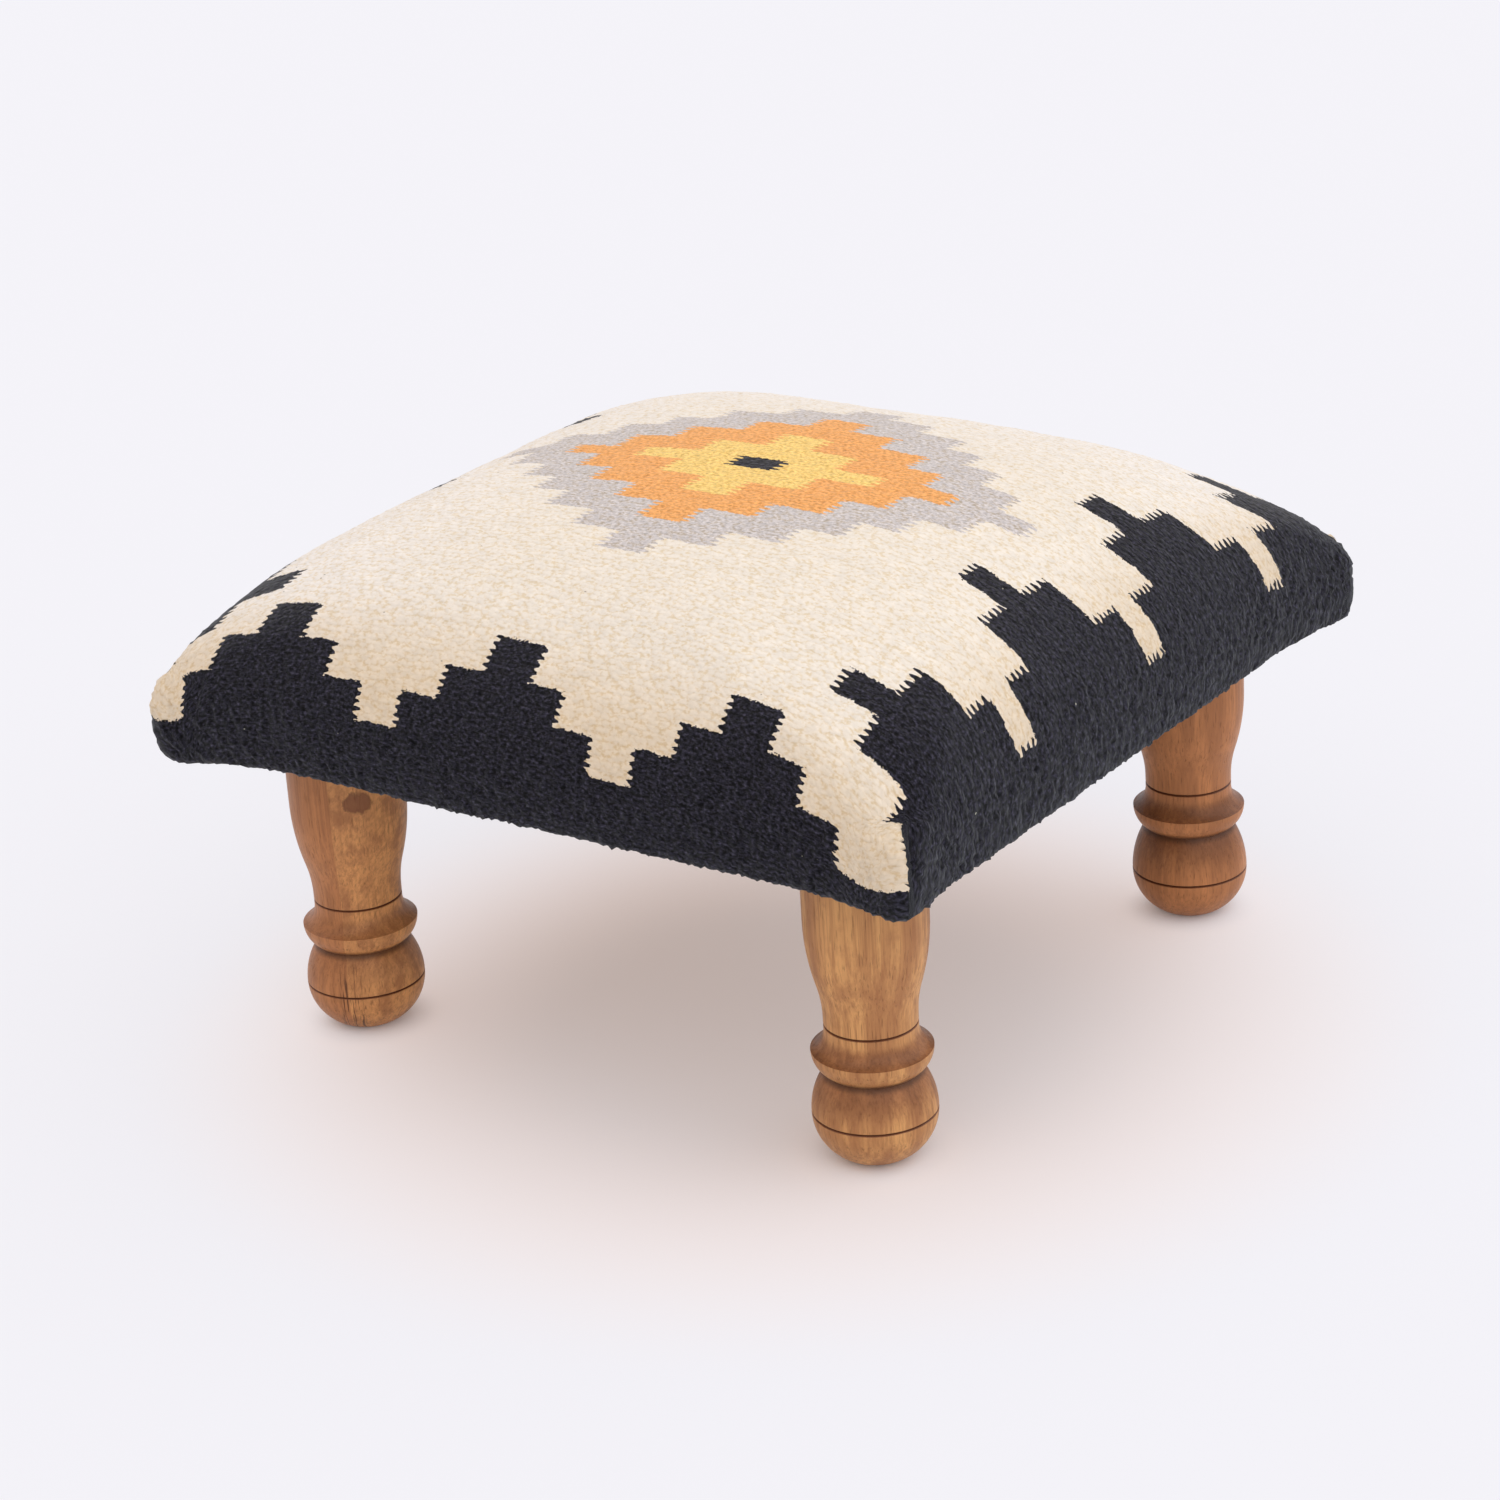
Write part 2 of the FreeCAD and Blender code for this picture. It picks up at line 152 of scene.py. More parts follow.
class KilimSettings(bpy.types.PropertyGroup):
    """The stepped pattern of the kilim, measured on the flat cloth from its middle."""
    medallion_across: lengths(
        "Medallion Across", "Half widths of the medallion's columns",
        (0.011, 0.0335, 0.057, 0.0745, 0.0915, 0.110, 0.1275))
    medallion_along: lengths(
        "Medallion Along", "Half lengths of the medallion's rows",
        (0.006, 0.0225, 0.039, 0.054, 0.070, 0.084, 0.098))
    end_steps: lengths(
        "End Steps", "Where the stepped end borders begin, from the tip to the band",
        (0.158, 0.175, 0.1895, 0.205))
    end_widths: lengths("End Widths", "Half widths of the end border's steps", (0.012, 0.029, 0.047))
    end_pitch: length("End Pitch", "Spacing of the end border's steps", 0.114)
    end_shift: length("End Shift", "How far the end border is off the middle", -0.008)
    end_teeth: share("End Teeth", "How deep the end border's interlocked wefts are beside the others", 0.65)
    rear_out: length("Rear Out", "How much further out the rear border lies", 0.010)
    side_steps: lengths(
        "Side Steps", "Where the stepped side borders begin, from the tip to the band",
        (0.128, 0.150, 0.1755, 0.201))
    side_widths: lengths("Side Widths", "Half widths of the side border's steps", (0.0075, 0.0245, 0.0405))
    side_pitch: length("Side Pitch", "Spacing of the side border's steps", 0.094)
    side_shift: length("Side Shift", "How far the side border is off the middle", 0.052)
    side_stretch: share("Side Stretch", "How far the side border's band is drawn to the rear", 0.07)
    left_out: length("Left Side Out", "How much further out the left border lies at its middle", 0.0021)
    left_slant: share(
        "Left Side Slant", "How much nearer the left border comes along each metre to the rear", 0.080)
    tooth_pitch: length("Tooth Pitch", "Spacing of the interlocked weft turns", 0.0034)
    tooth_depth: length("Tooth Depth", "How far interlocked wefts reach into each other", 0.0034)
    fray: length("Fray", "How wide single fibres blur the edge between two colours", 0.0026)
    waver: length("Waver", "How far the edge of a row wanders", 0.0024)
    bead_length: length("Bead Length", "Length of one weft float", 0.0038)
    row_pitch: length("Row Pitch", "Spacing of the weft rows", 0.0028)
    lean: share("Lean", "How far the weft rows lean across the cloth", 0.05)
    lean_change: share("Lean Change", "How much the lean changes per metre towards the front", 0.6)
    lean_least: share("Least Lean", "Lean of the weft rows at the front", -0.03)
    cream: dye("Cream", "Field of the kilim", 247, 234, 220)
    # Painted shade and light on the cream: darker and warmer down the front and right sides, paler towards
    # the left and rear, over the reaches below.
    shaded_cream: dye(
        "Unfaded Cream", "Field of the kilim at the front and right, where it has faded less", 237, 216, 191)
    lit_cream: dye("Bleached Cream", "Cream at the left and rear, where light has bleached it", 251, 241, 234)
    cream_light_reach: lengths("Bleach Reach", "From where to where the cream turns paler", (0.02, 0.16))
    cream_shade_reach: lengths(
        "Fade Reach", "From how far in to how far out the cream is less faded", (0.140, 0.195))
    black: dye("Black", "Borders and middle of the kilim", 33, 31, 40)
    grey: dye("Grey", "Outer band of the medallion", 212, 202, 200)
    orange: dye("Orange", "Middle band of the medallion", 248, 175, 104)
    yellow: dye("Yellow", "Inner band of the medallion", 254, 213, 127)
    # Painted shade: the gap tone darkens the hollows between the weft floats.
    gap: dye("Gap", "What is left of a colour between the weft floats", 244, 234, 214)
    # The fuzz is partly the yarn's own tone and partly painted light and shade on single fibres, most in the
    # black; the black's lighter fibres are a painted highlight.
    fuzz: share("Fuzz", "How strongly single fibres mottle the cream", 0.22)
    medallion_fuzz: share("Medallion Fuzz", "How much more they mottle the medallion", 1.3)
    black_fuzz: share("Black Fuzz", "How much more they mottle the black", 8.0)
    black_fibre_highlight: share("Black Shine", "How much lighter single fibres stand out of the black", 2.4)
    patches: share("Patches", "How strongly the spun yarn's tone changes along the rows", 0.16)
    black_patches: share("Black Patches", "How much more it changes in the black", 1.0)


class FillingSettings(bpy.types.PropertyGroup):
    """The soft layers inside the cover and the lining that closes the underside."""
    wadding_inset: length("Wadding Inset", "Depth of the wadding's outer face inside the pad's form", 0.0062)
    wadding_inner_inset: length("Wadding Inner Inset", "Depth of the wadding's inner face", 0.0098)
    foam_inset: length("Foam Inset", "Depth of the foam inside the pad's form", 0.0110)
    clearance: length("Clearance", "Gap between soft layers", 0.0003)
    lining_step: length("Lining Step", "Size of the lining's faces", 0.003)
    lining_sag: length("Lining Sag", "How far the lining hangs in its middle", 0.0016)
    lining_ripple: length("Lining Ripple", "How far the lining ripples in its middle", 0.0006)
    lining_leg_gap: length("Lining Leg Gap", "Gap of the lining round a leg", 0.0006)
    wadding_colour: dye("Wadding", "Polyester wadding", 236, 234, 228)
    foam_colour: dye("Foam", "Seat foam", 226, 208, 150)
    lining_colour: dye("Lining", "Bottom cloth", 44, 43, 46)


class WoodSettings(bpy.types.PropertyGroup):
    """The turned legs' oiled hardwood and the frame's plain timber."""
    oiled: dye("Oiled Wood", "Main tone of the legs", 236, 173, 110)
    golden: dye("Golden Wood", "Main tone of the blotchy wood", 238, 168, 105)
    red: dye("Red Wood", "Main tone of the reddest leg", 213, 140, 88)
    # Late wood, heart and the burnt tone also colour the painted shade on upward faces and in the crease.
    late: dye("Late Wood", "Darker bands of the legs", 167, 107, 68)
    heart: dye("Heart", "Pores and dark veins of the legs", 84, 50, 30)
    knot: dye("Knot", "Knot of the front left leg", 140, 86, 56)
    burnt: dye("Burnt Line", "Scored lines burnt into the legs", 100, 55, 32)
    softwood: dye("Softwood", "Rails of the frame", 214, 178, 128)
    plywood: dye("Plywood", "Seat board", 206, 170, 122)
    ring_spacing: length("Ring Spacing", "Spacing of the growth rings", 0.0042)
    ball_line: length("Ball Line", "Height of the scored line round the ball foot", 0.020)
    neck_line: length("Neck Line", "Height of the scored line round the neck", 0.0575)
    crease: length("Crease", "Height of the crease between the ball foot and the bead", 0.0375)
    line_width: length("Line Width", "Width of a scored line", 0.0011)
    knot_size: length("Knot Size", "Radius of the knot", 0.0065)


class StageSettings(bpy.types.PropertyGroup):
    """Camera, lamp, backdrop and floor."""
    lens: share("Lens", "Focal length in millimetres", 91.6)
    azimuth: angle("Azimuth", "Camera's turn about the stool from the front", 35.65)
    elevation: angle("Elevation", "Camera's height angle", 22.28)
    roll: angle("Roll", "Camera's tilt about its own axis", -3.59)
    target: lengths("Target", "Point that the camera looks at", (-0.04274, 0.04152, 0.0755))
    distance: length("Distance", "Camera's distance from its target", 1.691)
    key_strength: share("Key Strength", "Strength of the overhead soft lamp", 2.05)
    key_colour: dye("Key", "Tone of the overhead soft lamp", 218, 238, 255)
    key_spread: angle("Key Spread", "Angular size of the overhead soft lamp", 120)
    key_azimuth: angle("Key Azimuth", "Direction that the overhead lamp stands in", 110)
    key_elevation: angle("Key Elevation", "Height angle of the overhead lamp", 72)
    fill_strength: share("Fill Strength", "Strength of the light from all round", 0.57)
    fill_colour: dye("Fill", "Tone of the light from all round", 255, 236, 216)
    floor_colour: dye("Floor", "Pale floor", 240, 246, 255)
    # The floor's glow, seen only directly, is painted light over the stool's real shadow, fading in towards
    # the stool and the feet; its warm tone under the stool is a painted shadow tone.
    glow_colour: dye("Floor Glow", "Tone of the pale floor away from the stool", 246, 242, 246)
    shade_colour: dye("Floor Shade", "Tone of the pale floor under the stool", 255, 229, 218)
    glow: share("Glow", "How much of the floor is seen without its shadow, away from the stool", 0.75)
    shade_glow: share("Shade Glow", "How much of it is seen without its shadow under the stool", 0.38)
    shade_middle: lengths("Shade Middle", "Middle of the floor's shaded tone", (0.036, -0.048))
    shade_reach: lengths(
        "Shade Reach", "From how near to how far the floor's shaded tone fades", (0.12, 0.29))
    glow_reach: lengths("Glow Reach", "From how near to how far the floor's shadow fades", (0.09, 0.26))
    foot_reach: lengths("Foot Reach", "From how near to how far a foot keeps its full shadow", (0.004, 0.032))
    floor_size: length("Floor Size", "Width of the floor", 60.0)


class FootstoolSettings(bpy.types.PropertyGroup):
    """All the settings of the stool."""
    pad: PointerProperty(type=PadSettings)
    cover: PointerProperty(type=CoverSettings)
    kilim: PointerProperty(type=KilimSettings)
    filling: PointerProperty(type=FillingSettings)
    wood: PointerProperty(type=WoodSettings)
    stage: PointerProperty(type=StageSettings)


def middle_of(name):
    """Middle of a CAD piece's box."""
    low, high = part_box(name)
    return (low + high) / 2


def settings():
    """The stool's settings on the scene."""
    return getattr(bpy.context.scene, SETTINGS)


def linear(colour):
    """A screen colour as the four numbers of a shader's colour socket."""
    tone = Color(colour).from_srgb_to_scene_linear()
    return (tone.r, tone.g, tone.b, 1.0)


# Shader graphs

class Wire:
    """One output in a node tree, so that sums of outputs read as plain arithmetic."""

    def __init__(self, tree, socket):
        self.tree = tree
        self.socket = socket

    def math(self, operation, *others):
        node = self.tree.nodes.new("ShaderNodeMath")
        node.operation = operation
        for socket, value in zip(node.inputs, (self, *others)):
            plug(self.tree, value, socket)
        return Wire(self.tree, node.outputs[0])

    def __add__(self, other):
        return self.math("ADD", other)

    def __sub__(self, other):
        return self.math("SUBTRACT", other)

    def __mul__(self, other):
        return self.math("MULTIPLY", other)

    def __truediv__(self, other):
        return self.math("DIVIDE", other)

    def size(self):
        return self.math("ABSOLUTE")

    def above(self, level):
        return self.math("GREATER_THAN", level)

    def below(self, level):
        return self.math("LESS_THAN", level)

    def either(self, other):
        return self.math("MAXIMUM", other)

    def floor(self):
        return self.math("FLOOR")

    def fraction(self):
        return self.math("FRACT")

    def power(self, exponent):
        return self.math("POWER", exponent)

    def ramp(self, low, high):
        node = self.tree.nodes.new("ShaderNodeMapRange")
        node.interpolation_type = "SMOOTHSTEP"
        for socket, value in zip(node.inputs, (self, low, high)):
            plug(self.tree, value, socket)
        return Wire(self.tree, node.outputs[0])


def plug(tree, value, socket):
    """Join an output to a socket, or set the socket to a plain value."""
    if isinstance(value, Wire):
        tree.links.new(value.socket, socket)
    else:
        socket.default_value = value


def add_node(tree, kind, output=0, inputs=None, **options):
    """A node with its options and inputs set, as the wire from one of its outputs."""
    node = tree.nodes.new(kind)
    for option, value in options.items():
        setattr(node, option, value)
    for name, value in (inputs or {}).items():
        plug(tree, value, node.inputs[name])
    return Wire(tree, node.outputs[output])


def parts_of(vector):
    """The three wires of a vector."""
    node = vector.tree.nodes.new("ShaderNodeSeparateXYZ")
    plug(vector.tree, vector, node.inputs[0])
    return [Wire(vector.tree, socket) for socket in node.outputs]


def vector_of(tree, x, y, z):
    """A vector wire from three values."""
    return add_node(tree, "ShaderNodeCombineXYZ", inputs={"X": x, "Y": y, "Z": z})


def noise_at(tree, place, scale, detail=2.0, roughness=0.5):
    """Smooth noise from 0 to 1."""
    return add_node(tree, "ShaderNodeTexNoise", inputs={
        "Vector": place, "Scale": scale, "Detail": detail, "Roughness": roughness})


def chance_at(tree, place):
    """An even random number from 0 to 1 for each place."""
    return add_node(tree, "ShaderNodeTexWhiteNoise", inputs={"Vector": place}, noise_dimensions="3D")


def mix(tree, factor, first, second, blend="MIX"):
    """Two colours mixed by a factor."""
    node = tree.nodes.new("ShaderNodeMix")
    node.data_type = "RGBA"
    node.blend_type = blend
    for index, value in ((0, factor), (6, first), (7, second)):
        plug(tree, value, node.inputs[index])
    return Wire(tree, node.outputs[2])


def bump(tree, height, distance, strength):
    """A bumped normal from a height."""
    return add_node(tree, "ShaderNodeBump", inputs={
        "Height": height, "Distance": distance, "Strength": strength})


def object_place(tree):
    """A piece's own coordinates, which are the stool's."""
    return add_node(tree, "ShaderNodeTexCoord", output=3)


def tinted(tree, colour, shade):
    """A colour made lighter or darker by a factor."""
    grey = add_node(tree, "ShaderNodeCombineColor", inputs={"Red": shade, "Green": shade, "Blue": shade})
    return mix(tree, 1.0, colour, grey, blend="MULTIPLY")


def connect(tree, node, **values):
    """Join wires to a node's inputs by their names, or set the inputs to plain values."""
    for socket, value in values.items():
        plug(tree, value, node.inputs[socket.replace("_", " ")])


def new_group(name, inputs, outputs):
    """An empty node group with its sockets: its tree, its input wires by name, and its output node."""
    tree = bpy.data.node_groups.new(name, "ShaderNodeTree")
    for socket, kind in inputs.items():
        tree.interface.new_socket(name=socket, in_out="INPUT", socket_type=kind)
    for socket, kind in outputs.items():
        tree.interface.new_socket(name=socket, in_out="OUTPUT", socket_type=kind)
    entry = tree.nodes.new("NodeGroupInput")
    wires = {socket: Wire(tree, entry.outputs[socket]) for socket in inputs}
    return tree, wires, tree.nodes.new("NodeGroupOutput")


def use_group(tree, build, inputs):
    """A shared group, built when it is first used and placed in a material, as its output wires by name."""
    name = build.__name__
    node = tree.nodes.new("ShaderNodeGroup")
    node.node_tree = bpy.data.node_groups.get(name) or build(name)
    for socket, value in inputs.items():
        plug(tree, value, node.inputs[socket])
    return {socket.name: Wire(tree, socket) for socket in node.outputs}


def new_material(name, **sockets):
    """A material, its node tree and its Principled shader with these sockets set."""
    material = bpy.data.materials.new(name)
    material.use_nodes = True
    shader = material.node_tree.nodes["Principled BSDF"]
    for socket, value in sockets.items():
        shader.inputs[socket.replace("_", " ")].default_value = value
    return material, material.node_tree, shader


FLOAT = "NodeSocketFloat"
VECTOR = "NodeSocketVector"


def woven_rows(name):
    """Soft, uneven floats in rough rows: the face of a weft-faced weave."""
    tree, given, out = new_group(
        name,
        {"Cloth": VECTOR, "Bead Length": FLOAT, "Row Pitch": FLOAT, "Looseness": FLOAT},
        {"Height": FLOAT, "Tone": FLOAT, "Fuzz": FLOAT})
    across, along, _ = parts_of(given["Cloth"])
    row = along / given["Row Pitch"]
    bead = across / given["Bead Length"] + row.floor().math("PINGPONG", 1.0) * 0.5
    wander = noise_at(tree, given["Cloth"], 170.0, detail=1.0) - 0.5
    place = vector_of(tree, bead + wander * given["Looseness"], row - wander * given["Looseness"], 0.0)
    node = tree.nodes.new("ShaderNodeTexVoronoi")
    node.voronoi_dimensions = "2D"
    node.feature = "SMOOTH_F1"
    connect(tree, node, Vector=place, Scale=1.0, Smoothness=0.35, Randomness=given["Looseness"])
    off_middle = Wire(tree, node.outputs["Distance"])
    chance = Wire(tree, node.outputs["Color"])
    fibre = vector_of(tree, across * 0.7, along, 0.0)
    fuzz = noise_at(tree, fibre, 780.0, detail=3.0, roughness=0.6)
    connect(tree, out, Height=off_middle.ramp(0.75, 0.05), Tone=parts_of(chance)[0], Fuzz=fuzz)
    return tree


def wood_grain(name):
    """Growth rings about an upright axis, with soft bands, long streaks, short pores, blotches and curls."""
    tree, given, out = new_group(
        name,
        {"Point": VECTOR, "Seed": FLOAT, "Ring Spacing": FLOAT, "Figure": FLOAT},
        {"Rings": FLOAT, "Bands": FLOAT, "Streaks": FLOAT, "Pores": FLOAT, "Blotches": FLOAT, "Curls": FLOAT})
    x, y, z = parts_of(given["Point"])
    seed = given["Seed"]
    drawn = vector_of(tree, x + seed, y - seed, z * 0.16)
    wave = noise_at(tree, drawn, 26.0, detail=3.0) - 0.5
    wide = wave * given["Figure"]
    radius = ((x + wide) * (x + wide) + (y + wide) * (y + wide)).power(0.5)
    ring = (radius / given["Ring Spacing"]).fraction()
    band = vector_of(tree, x + seed, y - seed, z * 0.07)
    thread = vector_of(tree, x + seed, y + seed, z * 0.02)
    vessel = vector_of(tree, x - seed, y + seed, z * 0.07)
    blotch = vector_of(tree, x + seed, y, z * 0.7)
    level = x + y + seed
    curl = vector_of(tree, (level + z) * 0.5, level - z, wave * 0.1)
    connect(
        tree, out,
        Rings=ring.ramp(0.1, 0.85) * (ring.ramp(0.86, 1.0) * -1.0 + 1.0),
        Bands=noise_at(tree, band, 110.0, detail=3.0),
        Streaks=noise_at(tree, thread, 640.0, detail=4.0, roughness=0.7),
        Pores=noise_at(tree, vessel, 1600.0, detail=1.0).ramp(0.6, 0.74),
        Blotches=noise_at(tree, blotch, 130.0, detail=5.0, roughness=0.62),
        Curls=noise_at(tree, curl, 420.0, detail=4.0, roughness=0.65))
    return tree


def loose_fibres(name):
    """Fine crossing fibres, as on felt, wadding and bonded cloth."""
    tree, given, out = new_group(
        name, {"Point": VECTOR, "Scale": FLOAT}, {"Fibres": FLOAT, "Clumps": FLOAT})
    x, y, z = parts_of(given["Point"])
    first = noise_at(tree, vector_of(tree, x, y * 0.18, z), given["Scale"], detail=3.0)
    second = noise_at(tree, vector_of(tree, x * 0.18, y, z * 1.1), given["Scale"], detail=3.0)
    clumps = noise_at(tree, given["Point"], given["Scale"] * 0.08)
    connect(tree, out, Fibres=first.either(second), Clumps=clumps)
    return tree


# Finishes

# Each colour of the medallion fills the steps below its number, counted from the middle
MEDALLION_STEPS = {"grey": 6.5, "orange": 4.5, "yellow": 2.5, "black": 0.5}
# First and last of the points that stand on an end border and on a side border
END_POINTS = (-1, 1)
SIDE_POINTS = (-2, 1)
# Plain tones as they look on a screen, from 0 to 1
FLECK_ON_CREAM = (0.56, 0.50, 0.44)
FLECK_ON_BLACK = (0.86, 0.84, 0.76)
ZINC_BRIGHT = (0.80, 0.80, 0.79)
ZINC_DULL = (0.56, 0.56, 0.57)
FOAM_AGED = (0.78, 0.66, 0.40)
# Painted shade in the hollows of the foam's cells.
FOAM_CELL_SHADE = (0.55, 0.46, 0.28)
FLOOR_MOTTLE = (0.9, 0.89, 0.9)


def stepped_border(level, along, steps, widths, pitch, shift, first, last):
    """Mask of a border: a band, with stepped points that stand on it at a steady pitch."""
    place = (along - shift) / pitch
    nearest = place.math("ROUND").math("MAXIMUM", first).math("MINIMUM", last)
    from_point = (place - nearest).size() * pitch
    mask = level.above(steps[-1])
    for step, width in zip(steps, widths):
        mask = mask.either(level.above(step) * from_point.below(width))
    return mask


def kilim_pattern(tree, cloth, kilim):
    """Dyed colours of the stepped medallion and borders, with painted light and shade on the cream, and masks
    of the black and of the medallion.
    """
    across, along, along_side = parts_of(cloth)
    tooth = along / kilim.tooth_pitch + noise_at(tree, cloth, 60.0, detail=1.0) * 1.2
    tooth_chance = chance_at(tree, vector_of(tree, tooth.floor(), 0.5, 0.5))
    tooth_reach = (tooth_chance * 0.8 + 0.6) * kilim.tooth_depth
    fray = (noise_at(tree, cloth, 900.0, detail=2.0) - 0.5) * kilim.fray
    finger = (tooth.fraction() - 0.5).size().ramp(0.12, 0.38) - 0.5
    toothed = across + finger * tooth_reach + fray
    end_toothed = across + finger * tooth_reach * kilim.end_teeth + fray
    waver = (noise_at(tree, cloth, 240.0, detail=2.0) - 0.5) * kilim.waver + fray
    wavy = along + waver
    step = toothed.size().above(kilim.medallion_across[0])
    for width in kilim.medallion_across[1:]:
        step = step + toothed.size().above(width)
    for reach in kilim.medallion_along:
        step = step + wavy.size().above(reach)
    endward = (wavy * -1.0).either(wavy - kilim.rear_out)
    ends = stepped_border(
        endward, end_toothed, kilim.end_steps, kilim.end_widths, kilim.end_pitch, kilim.end_shift,
        *END_POINTS)
    left_out = along * -kilim.left_slant + kilim.left_out
    outward = toothed.either(toothed * -1.0 - left_out)
    sides = stepped_border(
        outward, along_side + waver, kilim.side_steps, kilim.side_widths, kilim.side_pitch, kilim.side_shift,
        *SIDE_POINTS)
    # Painted shade down the front and right sides and painted light towards the left and rear.
    outer = across.either(along * -1.0).ramp(*kilim.cream_shade_reach)
    painted_light = (across * -1.0).either(along).ramp(*kilim.cream_light_reach)
    colour = mix(tree, painted_light, linear(kilim.cream), linear(kilim.lit_cream))
    colour = mix(tree, outer, colour, linear(kilim.shaded_cream))
    for dyed, last_step in MEDALLION_STEPS.items():
        colour = mix(tree, step.below(last_step), colour, linear(getattr(kilim, dyed)))
    border = ends.either(sides)
    colour = mix(tree, border, colour, linear(kilim.black))
    dark = border.either(step.below(MEDALLION_STEPS["black"]))
    return colour, dark, step.below(MEDALLION_STEPS["grey"])


def kilim_material(kilim):
    """Weft-faced wool and cotton, mottled by its rows, its fibres and single flecks, with painted shade
    between its floats and painted light and shade on its fibres.
    """
    material, tree, shader = new_material(
        "kilim_weave", Roughness=1.0, Sheen_Weight=0.20, Sheen_Roughness=0.5, Specular_IOR_Level=0.05)
    cloth = add_node(tree, "ShaderNodeAttribute", output=1, attribute_name="cloth")
    colour, dark, medallion = kilim_pattern(tree, cloth, kilim)
    rows = use_group(tree, woven_rows, {
        "Cloth": cloth, "Bead Length": kilim.bead_length, "Row Pitch": kilim.row_pitch, "Looseness": 0.8})
    broad = noise_at(tree, cloth, 60.0, detail=4.0) * 0.12 + 0.94
    patchy = (noise_at(tree, cloth, 190.0, detail=2.0) - 0.5) * (dark * kilim.black_patches + kilim.patches)
    # Partly the yarn's own tone, partly painted light and shade on single fibres, with a painted highlight on
    # the black's lighter fibres.
    fuzzy = dark * kilim.black_fuzz + medallion * kilim.medallion_fuzz + kilim.fuzz
    mottle = (rows["Fuzz"] - 0.5) * fuzzy + rows["Fuzz"].ramp(0.54, 0.8) * dark * kilim.black_fibre_highlight
    shade = (mottle + patchy + rows["Tone"] * 0.04 + 0.98).math("MAXIMUM", 0.15) * broad
    colour = tinted(tree, colour, shade)
    # Painted shade in the hollows between the weft floats.
    pit_shade = rows["Height"].ramp(0.75, 0.1) * rows["Fuzz"].ramp(0.62, 0.4)
    colour = mix(tree, pit_shade, colour, linear(kilim.gap), blend="MULTIPLY")
    specks = add_node(
        tree, "ShaderNodeTexVoronoi", inputs={"Vector": cloth, "Scale": 120.0}, feature="F1")
    fleck = noise_at(tree, cloth, 33.0, detail=0.0).above(0.66) * specks.below(0.06)
    fleck_tone = mix(tree, dark, linear(FLECK_ON_CREAM), linear(FLECK_ON_BLACK))
    colour = mix(tree, fleck * 0.7, colour, fleck_tone)
    relief = rows["Height"] + rows["Fuzz"] * 0.5
    connect(tree, shader, Base_Color=colour, Normal=bump(tree, relief, distance=0.0003, strength=0.9))
    return material


class Turning(NamedTuple):
    """What sets one leg's wood apart. Places are in metres from the leg's axis and the floor.

    The end grain, darker on upward faces, is partly end grain and partly painted shade; it has a tone, a
    share of it that shows and a share of dark wood in it.
    """
    seed: float
    pith: tuple
    tone: str
    blotches: float
    end_grain_and_shade: tuple = ("late", 0.6, 0.4)
    curl: float = 0.0
    rise: float = 0.0
    knot: tuple = None
    seam: float = None


TURNINGS = {
    "front_left_leg": Turning(
        seed=3.1, pith=(0.012, 0.055), tone="golden", blotches=0.75, end_grain_and_shade=("late", 0.45, 0.25),
        curl=0.55, knot=(0.0183, -0.0164, 0.108), seam=-0.0055),
    "front_right_leg": Turning(
        seed=7.7, pith=(0.050, 0.020), tone="oiled", blotches=0.35, end_grain_and_shade=("late", 0.85, 0.55)),
    "rear_left_leg": Turning(seed=12.3, pith=(-0.040, 0.030), tone="oiled", blotches=0.4),
    "rear_right_leg": Turning(
        seed=19.9, pith=(0.070, -0.010), tone="red", blotches=0.3, end_grain_and_shade=("burnt", 0.55, 0.3),
        rise=0.003),
}
# Direction across the glued seam, how far its cracks wander and lie off it, and where they fade
SEAM_ACROSS = (0.81, 0.58)
SEAM_WANDER = 0.004
SEAM_OFFSET = 0.001
SEAM_REACH = (0.006, 0.003)
SEAM_DROP = 0.008
# How far the painted shade in the crease reaches, and how wide its core is
CREASE_REACH = (0.003, 0.0004)
# How far the growth rings wander
GRAIN_FIGURE = 0.03
# How much wider the growth rings of the frame's timber are
TIMBER_RINGS = 1.4


def glued_seam(tree, colour, across, z, seam, grain, wood):
    """A leg of two glued pieces: plain wood beside the seam, and fine cracks along it in the ball foot."""
    beside = across.below(seam)
    plain = mix(tree, grain["Streaks"].ramp(0.35, 0.7) * 0.6 + 0.4, linear(wood.red), linear(wood.late))
    colour = mix(tree, beside * 0.85, colour, plain)
    line = vector_of(tree, across + grain["Bands"] * SEAM_WANDER, 0.0, z * 0.05)
    crack = noise_at(tree, line, 1300.0, detail=2.0).ramp(0.52, 0.62)
    near = (across - seam - SEAM_OFFSET).size().ramp(*SEAM_REACH)
    near = near * z.ramp(wood.crease, wood.crease - SEAM_DROP)
    return mix(tree, crack * near * 0.9, colour, linear(wood.heart))


def knot_in(tree, colour, place, knot, grain, wood):
    """A knot with a blurred outline and a thin dark rim."""
    off = [part - centre for part, centre in zip(place, knot)]
    far = (off[0] * off[0] + off[1] * off[1] + off[2] * off[2] * 1.6).power(0.5)
    far = far + (grain["Blotches"] - 0.5) * wood.knot_size * 2.4
    colour = mix(tree, far.ramp(wood.knot_size, wood.knot_size * 0.7) * 0.85, colour, linear(wood.knot))
    rim = (far - wood.knot_size * 0.8).size().ramp(wood.knot_size * 0.22, 0.0)
    return mix(tree, rim * 0.2, colour, linear(wood.heart))


